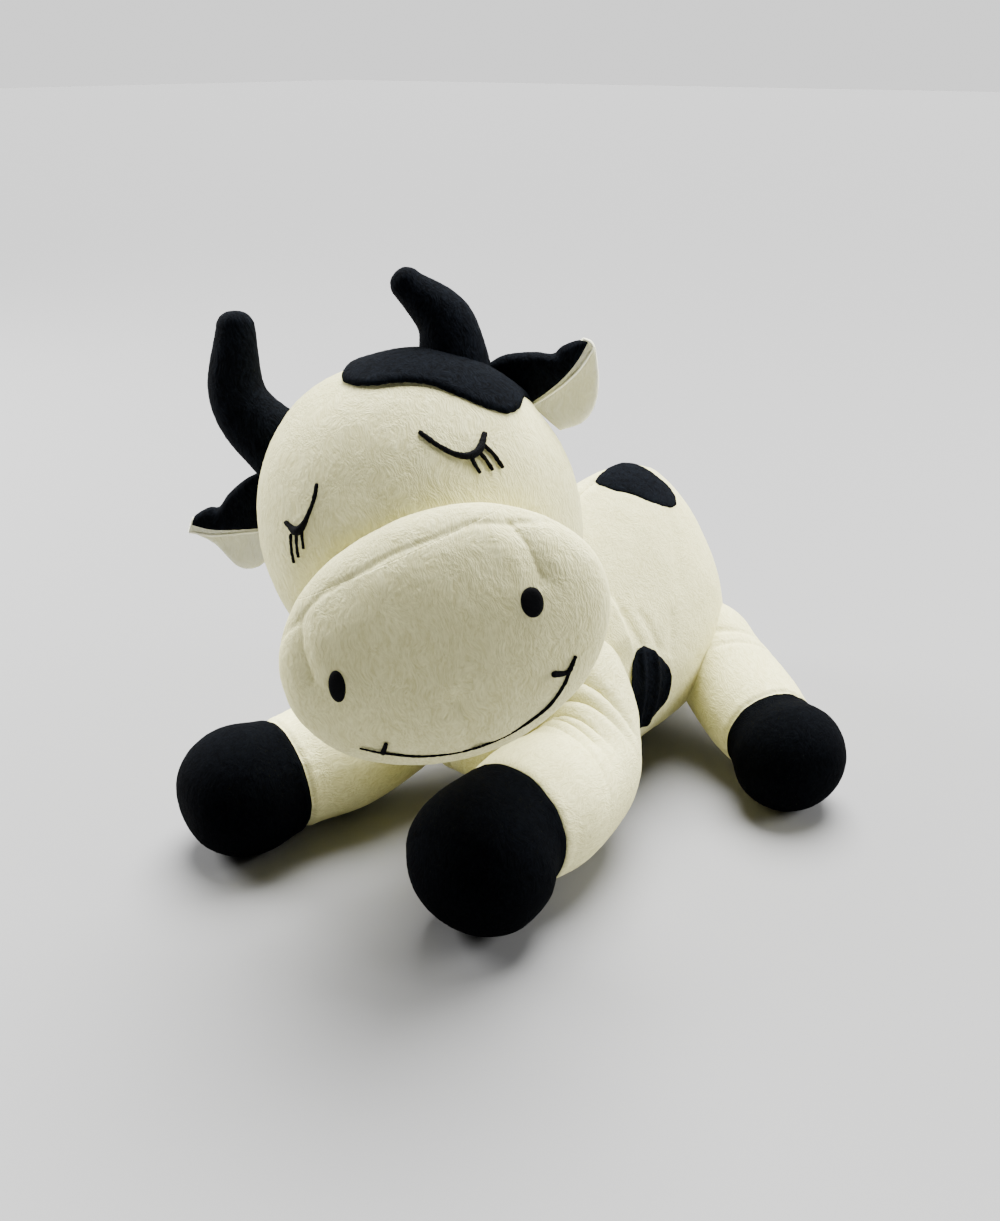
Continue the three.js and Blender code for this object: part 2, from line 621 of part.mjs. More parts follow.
// Ears
const earLean = THREE.MathUtils.degToRad(EAR_LEAN);
const earRoot = new THREE.Vector3(
  HEAD_HALF_WIDTH * Math.sqrt(1 - EAR_HEIGHT ** 2 - EAR_DEPTH ** 2),
  HEAD_HALF_DEPTH * EAR_DEPTH,
  HEAD_HALF_HEIGHT * EAR_HEIGHT,
);
const earOut = new THREE.Vector3(Math.cos(earLean), 0, Math.sin(earLean));
const earUp = new THREE.Vector3(-Math.sin(earLean), 0, Math.cos(earLean));

// One face of the ear, a distance outside its fold: up its back, over the fold and down its lip
function earFace(offset, mirror) {
  return EAR_LOWER_EDGE.map((low, row) => {
    const out = (EAR_LENGTH * row) / (EAR_LOWER_EDGE.length - 1);
    const radius = EAR_FOLD_RADIUS[row];
    const turnAt = EAR_FOLD_EDGE[row] - radius;
    const upTo = (share) => THREE.MathUtils.lerp(low, turnAt, share);
    const section = EAR_BACK_SHARES.map((share) => [radius + offset, upTo(share)]);
    for (const turn of EAR_FOLD_TURNS) {
      section.push([(radius + offset) * Math.cos(turn), turnAt + (radius + offset) * Math.sin(turn)]);
    }
    for (const share of EAR_LIP_SHARES) {
      section.push([-(radius + offset), THREE.MathUtils.lerp(turnAt, EAR_LIP_EDGE[row], share)]);
    }
    return section.map(([back, up]) => {
      const point = earRoot.clone().addScaledVector(earOut, out).addScaledVector(earUp, up);
      point.y += back;
      if (mirror) point.x = -point.x;
      return point;
    });
  });
}

function earPieces(name, mirror) {
  const face = (offset) => earFace(offset, mirror);
  return [
    piece(`${name}_ear_back`, closedLayer(face(SEAM / 2 + EAR_LAYER), face(SEAM / 2)), BLACK),
    piece(`${name}_ear_lining`, closedLayer(face(-SEAM / 2), face(-SEAM / 2 - EAR_LAYER)), CREAM),
  ];
}

// The slit that the pinched root of the ear is sewn into
function earSlit(mirror, clear = 0) {
  const radius = (EAR_FOLD_RADIUS[0] + SEAM / 2 + EAR_LAYER + FIT) * facetRoom(ROUND_SIDES, 0) + clear;
  const low = EAR_LOWER_EDGE[0] - FIT - clear;
  const high = EAR_FOLD_EDGE[0] + EAR_LAYER + FIT + clear;
  const geometry = new THREE.CylinderGeometry(radius, radius, high - low, ROUND_SIDES);
  geometry.rotateX(Math.PI / 2);
  geometry.translate(0, 0, (low + high) / 2);
  geometry.rotateY(-earLean);
  geometry.translate(earRoot.x, earRoot.y, earRoot.z);
  return mirror ? flipped(geometry.scale(-1, 1, 1)) : toSolid(geometry);
}

// Embroidery: each line of satin stitching is a raised thread that follows the skin.
function thread(points, radius, steps) {
  const path = new THREE.CatmullRomCurve3(points);
  const rows = Array.from({ length: steps + 1 }, (_, step) => {
    const direction = path.getTangentAt(step / steps);
    const across = vector(FORWARD).cross(direction).normalize();
    const outwards = direction.clone().cross(across);
    return Array.from({ length: THREAD_SIDES }, (_, side) => {
      const turn = (2 * Math.PI * side) / THREAD_SIDES;
      return path.getPointAt(step / steps)
        .addScaledVector(across, radius * Math.cos(turn))
        .addScaledVector(outwards, radius * Math.sin(turn));
    });
  });
  const start = points[0].clone().addScaledVector(path.getTangentAt(0), -radius);
  const end = points.at(-1).clone().addScaledVector(path.getTangentAt(1), radius);
  return closedForm(start, rows, end);
}

function eye(name, mirror) {
  const side = mirror ? -1 : 1;
  const onFace = (radius) => ([x, z]) => onCushion(MIDDLE, HEAD_HALVES, side * x, z, radius + FIT, -1);
  const line = thread(EYE_LINE.map(onFace(THREAD)), THREAD, THREAD_STEPS);
  const lashes = LASHES.map((lash) => thread(lash.map(onFace(LASH_THREAD)), LASH_THREAD, 1));
  return piece(name, lashes.reduce((solid, lash) => solid.add(lash), line), STITCH);
}

const onMuzzle = (x, z, margin) => (
  onCushion(MUZZLE_CENTRE, MUZZLE_HALVES, x, z + MUZZLE_CENTRE[2], margin, -1)
);

function mouth() {
  const points = MOUTH_LINE.map(([x, z]) => onMuzzle(x, z, THREAD + FIT));
  return piece('mouth_line', thread(points, THREAD, 2 * THREAD_STEPS), STITCH);
}

function nostril(name, side) {
  const layer = muzzleForm(FIT + NOSTRIL_THREAD).subtract(muzzleForm(FIT));
  const [x, z] = NOSTRIL_MIDDLE;
  const middle = onMuzzle(side * x, z, 0).toArray();
  const halves = [NOSTRIL_HALF_WIDTH, NOSTRIL_HALF_WIDTH, NOSTRIL_HALF_HEIGHT];
  return piece(name, layer.intersect(smallCushion(middle, halves)), STITCH);
}

// The black patch over the left brow, from its edge on the forehead up to the side seam
function foreheadPatch(cutters) {
  const edge = new THREE.SplineCurve(FOREHEAD_EDGE.map(([x, z]) => new THREE.Vector2(x, z)));
  const beyond = 2 * HEAD_HALF_HEIGHT;
  const [start] = FOREHEAD_EDGE;
  const end = FOREHEAD_EDGE.at(-1);
  const corners = [end, start].map(([x]) => new THREE.Vector2(x, beyond));
  const outline = new THREE.Shape([...edge.getPoints(EDGE_STEPS), ...corners]);
  const geometry = new THREE.ExtrudeGeometry(outline, { depth: beyond, bevelEnabled: false });
  geometry.rotateX(Math.PI / 2);
  const layer = headForm(FIT + APPLIQUE).subtract(headForm(FIT));
  const front = inFrontOf(layer, HEAD_SEAM - SEAM / 2);
  geometry.translate(0, beyond / 2, 0);
  return piece('forehead_patch', cutBy(front.intersect(toSolid(geometry)), cutters), BLACK);
}

// Head
function headPieces() {
  const hornSockets = horns.map(({ shape }) => limbSocket(shape, HORN_BENDING));
  const slits = [earSlit(false), earSlit(true)];
  const neck = (radius) => ball(neckInHead.toArray(), radius);
  const neckHole = neck(NECK_BALL - SKIN);
  const neckSkin = neck(NECK_BALL).subtract(neckHole).subtract(headForm(FIT));
  const shell = cutBy(headForm(0).subtract(headForm(-SKIN)), [...hornSockets, ...slits, neckHole]);
  const back = behind(shell, HEAD_SEAM + SEAM / 2);
  const neckAxis = neckInHead.clone().negate().normalize();
  const neckOpening = -neckInHead.length() - STUFFING_HOLE * NECK_BALL;
  const stuffed = cutBy(headForm(-SKIN - FIT), [...hornSockets, ...slits]);
  const muzzle = muzzleForm(0).subtract(muzzleForm(-SKIN)).subtract(headForm(FIT));
  const seam = MUZZLE_CENTRE[2] + MUZZLE_SEAM;
  return [
    piece('face_panel', inFrontOf(shell, HEAD_SEAM - SEAM / 2), CREAM),
    piece('head_back_left', leftOf(back, SEAM / 2), CREAM),
    piece('head_back_right', rightOf(back, -SEAM / 2), CREAM),
    piece('neck_skin', keep(neckSkin, neckAxis.toArray(), neckOpening), CREAM),
    piece('head_filling', stuffed.add(neck(NECK_BALL - SKIN - FIT)), FILLING),
    piece('muzzle_band', above(muzzle, seam + SEAM / 2), CREAM),
    piece('muzzle_front', below(muzzle, seam - SEAM / 2), CREAM),
    piece('muzzle_filling', muzzleForm(-SKIN - FIT).subtract(headForm(FIT)), FILLING),
    foreheadPatch([...hornSockets, earSlit(false, EAR_CLEAR)]),
    eye('left_eye', false),
    eye('right_eye', true),
    nostril('left_nostril', 1),
    nostril('right_nostril', -1),
    mouth(),
    ...horns.flatMap(hornPieces),
    ...earPieces('left', false),
    ...earPieces('right', true),
  ];
}

const toy = new THREE.Group();
const head = new THREE.Group();
head.applyMatrix4(headPlace);
head.add(...headPieces());
toy.add(head, ...torsoPieces(), ...squeakerPieces(), ...legs.flatMap(legPieces), ...tailPieces());

export default toy;
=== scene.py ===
import itertools
import math

import bmesh
import bpy
import numpy as np
from mathutils import Matrix, Vector


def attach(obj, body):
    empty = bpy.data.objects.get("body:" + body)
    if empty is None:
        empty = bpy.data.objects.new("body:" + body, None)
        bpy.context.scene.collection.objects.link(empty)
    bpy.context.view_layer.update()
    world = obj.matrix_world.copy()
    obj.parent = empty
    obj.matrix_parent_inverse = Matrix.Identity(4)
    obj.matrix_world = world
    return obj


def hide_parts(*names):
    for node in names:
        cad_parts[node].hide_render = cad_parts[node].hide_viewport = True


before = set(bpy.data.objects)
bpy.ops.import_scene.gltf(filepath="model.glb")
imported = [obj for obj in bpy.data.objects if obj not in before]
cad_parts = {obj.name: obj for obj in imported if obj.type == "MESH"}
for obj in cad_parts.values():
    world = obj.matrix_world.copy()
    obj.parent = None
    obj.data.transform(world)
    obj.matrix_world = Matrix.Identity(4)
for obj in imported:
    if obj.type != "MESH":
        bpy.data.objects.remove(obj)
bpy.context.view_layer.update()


# Torso skins. The torso is a loaf of short-pile plush, sewn from a left and a right panel that meet
# along the back, and a belly panel that lies flat on the floor. All three are stretched over the
# filling, which swells between the seams and draws them in.
MM = 0.001
SKIN = 2.2 * MM
FIT = 0.3 * MM
TORSO_FRONT = -118 * MM
TORSO_REAR = 102 * MM
TORSO_CORE = 60 * MM
SHOULDER_HALF_WIDTH = 56 * MM
HIP_HALF_WIDTH = 64 * MM
SHOULDER_TOP = 126 * MM
HIP_TOP = 158 * MM
SHOULDER_SHARE, HIP_SHARE = -0.8, 0.7  # of its half length: where it starts to widen, and is widest
END_FULLNESS, BELLY_FULLNESS = 2.1, 4.5  # how square its ends are from above, and along the belly
BACK_FULLNESS, FLANK_FULLNESS = 1.5, 2.2  # and its sections, above their widest level and below it
CHEST_TUCK = 15 * MM  # how far the stuffing is tucked back under the chin
BELLY_SEAM = 13 * MM
CREAM_LIGHT = (0.88, 0.85, 0.47, 1)
CREAM_SHADE = (0.66, 0.62, 0.29, 1)


def lumps(points, size, seed=0):
    """Smooth noise from -1 to 1 at some points. Its lumps are of this size, or of this size each way."""
    scaled = points / size + 31.7 * seed
    base = np.floor(scaled).astype(np.int64)
    part = scaled - base
    part = part * part * (3 - 2 * part)
    total = np.zeros(len(points))

    # Each corner of a lump's cube has its own value, which is jumbled from its place by fixed numbers.
    for corner in itertools.product((0, 1), repeat=3):
        key = (base + corner) @ np.array([73856093, 19349663, 83492791])
        key = (key ^ (key >> 13)) * 1274126177 & 0x7FFFFFFF
        value = ((key ^ (key >> 16)) & 0xFFFF) / 32767.5 - 1
        total += value * np.prod(np.where(corner, part, 1 - part), axis=1)
    return total


def near(distance, width):
    """1 at a seam, and fading to 0 at a few times this width from it."""
    return np.exp(-((distance / width) ** 2))


def step(value, low, high):
    """0 below a range of values, 1 above it, and a smooth rise in between."""
    share = np.clip((value - low) / (high - low), 0, 1)
    return share * share * (3 - 2 * share)


def line_distance(spots, line):
    """How far some spots are from a line of corners, which are given in millimetres."""
    closest = np.full(len(spots), 1.0)
    for start, end in zip(line, line[1:]):
        start, run = np.array(start) * MM, (np.array(end) - np.array(start)) * MM
        share = np.clip((spots - start) @ run / (run @ run), 0, 1)
        closest = np.minimum(closest, np.linalg.norm(spots - start - share[:, None] * run, axis=1))
    return closest


def get_points(bm):
    return np.array([vert.co for vert in bm.verts])


def set_points(bm, points):
    for vert, point in zip(bm.verts, points):
        vert.co = point


def get_normals(bm):
    """The directions away from a skin at its points."""
    bm.normal_update()
    return np.array([vert.normal for vert in bm.verts])


def ball_mesh(fineness):
    """A ball of even faces with a radius of one unit."""
    bm = bmesh.new()
    bmesh.ops.create_icosphere(bm, subdivisions=fineness - 0, radius=1)
    return bm


def raise_pile(bm, height, seed, stuffing=1.0):
    """Lifts the pile of a plush skin a little unevenly, over the soft unevenness of its stuffing."""
    points, normals = get_points(bm), get_normals(bm)
    uneven = 0.3 * MM * lumps(points, 12 * MM, seed + 1) + 0.8 * MM * lumps(points, 34 * MM, seed + 2)
    rise = height * lumps(points, 1.5 * MM, seed) + stuffing * uneven
    set_points(bm, points + normals * rise[:, None])


def part_at(bm, point, normal):
    """The piece of a skin on the side of a plane that the normal points to."""
    piece = bm.copy()
    geometry = [*piece.verts, *piece.edges, *piece.faces]
    bmesh.ops.bisect_plane(piece, geom=geometry, plane_co=point, plane_no=normal, clear_inner=True)
    return piece


def add_piece(bm, name, finish, body, replaced, thickness=0.0, place=None):
    """Makes a piece of the scene from its mesh, and gives it its finish, body and thickness."""
    if place is not None:
        bmesh.ops.transform(bm, matrix=place, verts=bm.verts)
    mesh = bpy.data.meshes.new(name)
    bm.to_mesh(mesh)
    bm.free()
    mesh.polygons.foreach_set("use_smooth", [True] * len(mesh.polygons))
    mesh.materials.append(finish)
    piece = bpy.data.objects.new(name, mesh)
    bpy.context.scene.collection.objects.link(piece)
    if thickness:
        solidify = piece.modifiers.new("thickness", "SOLIDIFY")
        solidify.thickness = thickness
        solidify.offset = -1
    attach(piece, body)
    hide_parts(*replaced)
    return piece


def add_skin(bm, node, finish, body, thickness=SKIN, place=None, making="sewn"):
    """Adds a skin that its stuffing holds out, in place of its CAD solid."""
    skin = add_piece(bm, f"{node}_{making}", finish, body, [node], thickness, place)


class Value:
    """A socket in a material. It adds and multiplies as a number does, and makes the next nodes."""

    def __init__(self, tree, socket=None):
        self.tree = tree
        self.socket = socket

    def node(self, kind, settings=None, inputs=None, output=0):
        """Adds a node of a kind, with its settings and the values or links of its sockets."""
        made = self.tree.nodes.new("ShaderNode" + kind)
        for name, value in (settings or {}).items():
            setattr(made, name, value)
        for name, value in (inputs or {}).items():
            if isinstance(value, Value):
                self.tree.links.new(value.socket, made.inputs[name])
            else:
                made.inputs[name].default_value = value
        return Value(self.tree, made.outputs[output])

    def maths(self, operation, first, second):
        return self.node("Math", {"operation": operation}, {0: first, 1: second})

    def __add__(self, other):
        return self.maths("ADD", self, other)

    def __sub__(self, other):
        return self.maths("SUBTRACT", self, other)

    def __rsub__(self, other):
        return self.maths("SUBTRACT", other, self)

    def __mul__(self, other):
        return self.maths("MULTIPLY", self, other)

    __radd__ = __add__
    __rmul__ = __mul__

    def ramp(self, low, high):
        """0 below a range of this value, 1 above it, and an even rise in between."""
        return self.node("MapRange", {}, {"Value": self, "From Min": low, "From Max": high})

    def blend(self, first, second):
        """A colour between two, by this value."""
        return self.node("Mix", {"data_type": "RGBA"}, {0: self, 6: first, 7: second}, output=2)


def new_finish(name, roughness, sheen, specular=0.2):
    """A new material, with a start for its nodes, and its shader."""
    material = bpy.data.materials.new(name)
    material.use_nodes = True
    shader = material.node_tree.nodes["Principled BSDF"]
    shader.inputs["Roughness"].default_value = roughness
    shader.inputs["Sheen Weight"].default_value = sheen
    shader.inputs["Sheen Roughness"].default_value = 0.4
    shader.inputs["Specular IOR Level"].default_value = specular
    return material, Value(material.node_tree), shader


def wire(tree, value, shader, name):
    tree.links.new(value.socket, shader.inputs[name])


def plush(name, light, shade, sheen, nap=(0, 0, 1), specular=0.2):
    """Short-pile plush: fine strokes of fibre along the nap, which wander and part in soft tufts."""
    material, start, shader = new_finish(name, 0.95, sheen, specular)
    shader.inputs["Sheen Tint"].default_value = light
    place = start.node("TexCoord", output=3)
    turn = Vector(nap).rotation_difference(Vector((0, 0, 1))).to_euler()
    drift = start.node("TexNoise", {}, {"Vector": place, "Scale": 75, "Detail": 1}, output=1)
    bent = start.node("VectorMath", {"operation": "MULTIPLY_ADD"}, {0: drift, 1: (0.011,) * 3, 2: place})
    along = start.node("Mapping", {}, {"Vector": bent, "Rotation": turn})
    fine = start.node("VectorMath", {"operation": "MULTIPLY"}, {0: along, 1: (1.0, 1.0, 0.3)})
    fibre = start.node("TexNoise", {}, {"Vector": fine, "Scale": 1250, "Detail": 2, "Roughness": 0.6})
    tuft = start.node("TexNoise", {}, {"Vector": fine, "Scale": 420, "Detail": 1, "Roughness": 0.5})
    cloud = start.node("TexNoise", {}, {"Vector": place, "Scale": 45, "Detail": 2, "Roughness": 0.5})
    strokes = (fibre * 0.7 + tuft * 0.3).ramp(0.38, 0.62)
    wire(start.tree, (strokes * 0.75 + cloud * 0.25).blend(shade, light), shader, "Base Color")
    height = fibre * 0.6 + tuft * 0.4
    bump = start.node("Bump", {}, {"Strength": 0.9, "Distance": 0.0008, "Height": height})
    wire(start.tree, bump, shader, "Normal")
    return material


def loaf(directions, grow=0.0):
    """Where rays from the middle of the torso meet it, found by halving. A margin grows it all over."""
    half, middle = (TORSO_REAR - TORSO_FRONT) / 2, (TORSO_REAR + TORSO_FRONT) / 2
    low, high = np.zeros(len(directions)), np.full(len(directions), 250 * MM)
    for _ in range(26):
        reach = (low + high) / 2
        x, y, z = (directions * reach[:, None]).T
        share = np.clip(np.abs(y / (half + grow)), 0, 1)
        hips = step(np.sign(y) * share, SHOULDER_SHARE, HIP_SHARE)
        wide = SHOULDER_HALF_WIDTH + (HIP_HALF_WIDTH - SHOULDER_HALF_WIDTH) * hips + grow
        top = SHOULDER_TOP + (HIP_TOP - SHOULDER_TOP) * hips - TORSO_CORE + grow
        round_end = np.maximum(1 - share**END_FULLNESS, 1e-9) ** (1 / END_FULLNESS)
        square_end = np.maximum(1 - share**BELLY_FULLNESS, 1e-9) ** (1 / BELLY_FULLNESS)
        tall = np.where(z > 0, top * round_end, (TORSO_CORE + grow) * square_end)
        power = np.where(z > 0, BACK_FULLNESS, FLANK_FULLNESS)
        inside = (np.abs(x) / (wide * round_end)) ** power + (np.abs(z) / tall) ** power < 1
        inside &= share < 1
        low, high = np.where(inside, reach, low), np.where(inside, high, reach)
    spots = directions * low[:, None] + np.array([0, middle, TORSO_CORE])
    under_chin = step(34 * MM - spots[:, 2], -2 * MM, 20 * MM)
    spots[:, 1] += CHEST_TUCK * under_chin * step(-spots[:, 1], 80 * MM, 112 * MM)
    return spots


# Folds of the skin over each flank: a line of corners on the left side, its depth and its width.
TORSO_FOLDS = [
    ([(43, -33, 98), (48, -31, 89), (53, -29, 81)], 0.9, 2.2),
    ([(47, -22, 94), (52, -20, 86), (56.5, -18, 76)], 0.8, 2.6),
    ([(53.5, -1, 87), (56, -5, 80), (58.5, -9, 72)], 0.8, 3),
    ([(30, 31, 125), (38, 25, 116), (47, 13, 100)], 0.8, 5),
]
TORSO_NAP = (0.3, -0.5, 0.8)
cream_torso = plush("cream plush of the torso", CREAM_LIGHT, CREAM_SHADE, 0.2, TORSO_NAP)
torso = ball_mesh(7)
set_points(torso, loaf(get_points(torso)))
bmesh.ops.smooth_vert(
    torso, verts=torso.verts, factor=0.5, use_axis_x=True, use_axis_y=True, use_axis_z=True,
)
points, normals = get_points(torso), get_normals(torso)
upper = step(points[:, 2], BELLY_SEAM, BELLY_SEAM + 4 * MM)
draw = 1.5 * MM * near(points[:, 0], 1.8 * MM) * upper
draw = draw + 1.3 * MM * near(points[:, 2] - BELLY_SEAM, 1.8 * MM)
pucker = lumps(points, np.array([20, 5, 20]) * MM, 3) * near(points[:, 0], 7 * MM) * upper

# The skin bulges over each shoulder. The bulge ends sharply behind and fades out in front.
ahead = -35 * MM - points[:, 1]
shoulder = step(ahead, -1.5 * MM, 2.5 * MM) * (1 - step(ahead, 8 * MM, 34 * MM))
shoulder *= step(np.abs(points[:, 0]), 24 * MM, 38 * MM) * step(points[:, 2], 76 * MM, 88 * MM)
shoulder *= 1 - step(points[:, 2], 98 * MM, 116 * MM)
mirrored = np.abs(points) * (1, 0, 0) + points * (0, 1, 1)
for line, depth, width in TORSO_FOLDS:
    draw = draw + depth * MM * near(line_distance(mirrored, line), width * MM)
set_points(torso, points + normals * (0.5 * MM * pucker + 3 * MM * shoulder - draw)[:, None])
raise_pile(torso, 0.1 * MM, 11)

points = get_points(torso)
points[:, 2] = np.maximum(points[:, 2], 0)
set_points(torso, points)
over_belly = part_at(torso, (0, 0, BELLY_SEAM), (0, 0, 1))
for name, side in (("body_panel_left", 1), ("body_panel_right", -1)):
    panel = part_at(over_belly, (0, 0, 0), (side, 0, 0))
    add_skin(panel, name, cream_torso, "torso")
over_belly.free()
belly = part_at(torso, (0, 0, BELLY_SEAM), (0, 0, -1))
add_skin(belly, "belly_panel", cream_torso, "torso")
torso.free()


# Filling of the torso. Loose polyester fibre, packed tight behind the skins through a gap in a seam,
# which is then closed. The head, horns, legs and muzzle below are stuffed with the same fibre.
fibre_finish, start, shader = new_finish("polyester fibre", 0.9, 0.3)
place = start.node("TexCoord", output=3)
wisps = start.node("TexNoise", {}, {"Vector": place, "Scale": 140, "Detail": 4, "Distortion": 2.5})
wire(start.tree, wisps.blend((0.72, 0.72, 0.70, 1), (0.92, 0.92, 0.90, 1)), shader, "Base Color")
bump = start.node("Bump", {}, {"Strength": 0.6, "Distance": 0.001, "Height": wisps})
wire(start.tree, bump, shader, "Normal")


def add_filling(bm, node, body, place=None):
    """Adds the stuffing of a part, a little lumpy and just inside its skin."""
    points, normals = get_points(bm), get_normals(bm)
    set_points(bm, points + normals * (0.5 * MM * lumps(points, 6 * MM, 5) - 0.6 * MM)[:, None])
    filling = add_piece(bm, node + "_packed", fibre_finish, body, [node], place=place)


stuffing = ball_mesh(6)
set_points(stuffing, loaf(get_points(stuffing), -SKIN - FIT))
add_filling(stuffing, "body_filling", "torso")


# Squeaker. A bellows drum, moulded in soft plastic, with its reed plugged into its end. It lies loose
# in a pocket of the filling. The CAD shapes of both are right, so they only get their finish.
squeaker_finish, start, shader = new_finish("soft moulded plastic", 0.4, 0.0, 0.5)
place = start.node("TexCoord", output=3)
haze = start.node("TexNoise", {}, {"Vector": place, "Scale": 90, "Detail": 2})
wire(start.tree, haze.blend((0.80, 0.78, 0.70, 1), (0.90, 0.88, 0.82, 1)), shader, "Base Color")
wire(start.tree, haze * 0.2 + 0.3, shader, "Roughness")
for node in ("squeaker_bulb", "squeaker_reed"):
    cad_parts[node].data.materials.clear()
    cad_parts[node].data.materials.append(squeaker_finish)


# Torso patches. Black plush, sewn flat on the cream skin over the back and on each flank. The one
# behind the left front leg is gathered into three upright pleats.
BLACK_LIGHT = (0.0042, 0.0056, 0.0084, 1)
BLACK_SHADE = (0.0004, 0.0005, 0.0008, 1)
PATCH = 1.2 * MM
black_torso = plush("black plush of the torso", BLACK_LIGHT, BLACK_SHADE, 0.02, TORSO_NAP, 0.03)


def disc_mesh(rings=26, spokes=132):
    """A round disc of rings of faces, one unit across its middle to its rim."""
    bm = bmesh.new()
    bmesh.ops.create_circle(bm, segments=spokes, radius=1 / rings, cap_ends=True, cap_tris=True)
    rim = [edge for edge in bm.edges if edge.is_boundary]
    for ring in range(2, rings + 1):
        grown = bmesh.ops.extrude_edge_only(bm, edges=rim)["geom"]
        verts = [item for item in grown if isinstance(item, bmesh.types.BMVert)]
        bmesh.ops.scale(bm, vec=[ring / (ring - 1)] * 2 + [1], verts=verts)
        rim = [item for item in grown if isinstance(item, bmesh.types.BMEdge) and item.is_boundary]
    return bm


def facing_out(bm, middle):
    """Turns the faces of a patch away from a middle behind it."""
    bmesh.ops.recalc_face_normals(bm, faces=bm.faces)
    bm.faces.ensure_lookup_table()
    face = bm.faces[0]
    if face.normal.dot(face.calc_center_median() - Vector(middle)) < 0:
        bmesh.ops.reverse_faces(bm, faces=bm.faces)


def torso_patch(name, middle, halves, axes, cut, pleats=0.0):
    """A patch laid on the torso. Its edge is an oval times some shares of its radius, all the way round."""
    bm = disc_mesh()
    core = np.array([0, (TORSO_REAR + TORSO_FRONT) / 2, TORSO_CORE])
    flat = get_points(bm)
    radius = np.hypot(flat[:, 0], flat[:, 1])
    turn = np.arctan2(flat[:, 1], flat[:, 0]) / (2 * math.pi) * len(cut)
    shares = [np.interp(turn + shift, range(len(cut)), cut, period=len(cut)) for shift in (-0.4, 0, 0.4)]
    flat[:, :2] *= (sum(shares) / 3)[:, None]
    spread = 1 + 0.03 * lumps(flat * 0.03, 6 * MM, 7)
    across, along = np.array(axes[0]), np.array(axes[1])
    spots = np.array(middle) + (flat[:, :1] * spread[:, None] * halves[0]) * across
    spots = spots + (flat[:, 1:2] * spread[:, None] * halves[1]) * along
    rays = spots - core
    rays /= np.linalg.norm(rays, axis=1)[:, None]
    rise = PATCH * np.sqrt(np.clip(1 - radius**9, 0, 1)) + 0.2 * MM
    rise = rise + pleats * (0.5 - 0.5 * np.cos(2 * np.pi * (flat[:, 0] * 1.5 + 0.1 * flat[:, 1]))) ** 2
    set_points(bm, loaf(rays) + rays * rise[:, None])
    facing_out(bm, core)
    raise_pile(bm, 0.12 * MM, 17, 0.2)
    add_piece(bm, name + "_sewn", black_torso, "torso", [name], PATCH)


# The edges of the patches, as shares of an oval's radius at even steps round it.
BACK_CUT = [0.85, 0.83, 0.92, 1.05, 1.2, 1.28, 1.0, 0.92, 1.04, 1.08, 1.05, 1.02, 1.26, 1.22, 0.9, 0.84]
SIDE_CUT = [1.1, 1.03, 0.92, 0.96, 1.04, 1.28, 1.32, 1.02, 0.8, 0.74, 0.78, 0.84, 0.89, 0.89, 0.94, 1.03]
FLANK_CUT = [1, 1.06, 1, 0.93, 1, 1.05, 0.98, 0.95]
torso_patch(
    "back_patch", (15 * MM, 31 * MM, 142 * MM), (15 * MM, 26 * MM),
    ((0.84, -0.4, -0.36), (0.45, 0.89, 0)), BACK_CUT,
)
torso_patch(
    "side_patch", (57 * MM, -29 * MM, 53 * MM), (15.5 * MM, 25 * MM),
    ((0, 1, 0), (0, 0.1, 1)), SIDE_CUT, pleats=1.3 * MM,
)
torso_patch(
    "flank_patch", (-54 * MM, 30 * MM, 88 * MM), (30 * MM, 24 * MM),
    ((0, 1, 0), (0.25, 0, 0.97)), FLANK_CUT,
)


# Head. An egg-shaped ball of the same plush, turned to the toy's left and leaning to its right. A face
# panel in front of the side seam meets two back panels, which meet behind the crown. It stands on a
# neck, a stuffed ball sewn into the torso. Places from here to the ears are in the head's own frame.
HEAD_HALVES = np.array([65.9, 50, 69.4]) * MM
HEAD_SEAM = 8 * MM
NECK_PIVOT = Vector((5, -91, 114)) * MM
NECK_BALL = 38 * MM
HEAD_FROM_NECK = Vector((10.5, -58.4, 58.7)) * MM
HEAD_TURNS = (("Z", 33.4), ("X", -8.8), ("Y", -26))  # degrees to its left, up, and over to its right
head_place = Matrix.Translation(NECK_PIVOT + HEAD_FROM_NECK)
for axis, turn in HEAD_TURNS:
    head_place = head_place @ Matrix.Rotation(math.radians(turn), 4, axis)
down_face = tuple(head_place.to_3x3() @ Vector((0.25, 0, 1)))
cream_head = plush("cream plush of the head", CREAM_LIGHT, CREAM_SHADE, 0.2, down_face)


def on_head(x, z, lift=0.0):
    """A place on the face, at a sideways place and a height, lifted off it."""
    spot = np.array([x, 0, z], dtype=float)
    depth = max(1 - (x / HEAD_HALVES[0]) ** 2 - (z / HEAD_HALVES[2]) ** 2, 0)
    spot[1] = -HEAD_HALVES[1] * math.sqrt(depth)
    normal = spot / HEAD_HALVES**2
    return spot + lift * normal / np.linalg.norm(normal)


def dent_face(points):
    """How deep the face is drawn in: between the eyes, and under the forehead patch."""
    front = step(-points[:, 1], 10 * MM, 25 * MM)
    brow = ((points[:, 0] + 6 * MM) / (11 * MM)) ** 2 + ((points[:, 2] - 32 * MM) / (17 * MM)) ** 2
    crown = ((points[:, 0] - 8 * MM) / (20 * MM)) ** 2 + ((points[:, 2] - 70 * MM) / (15 * MM)) ** 2
    return front * 1.6 * MM * np.exp(-brow) + 1.6 * MM * np.exp(-crown)


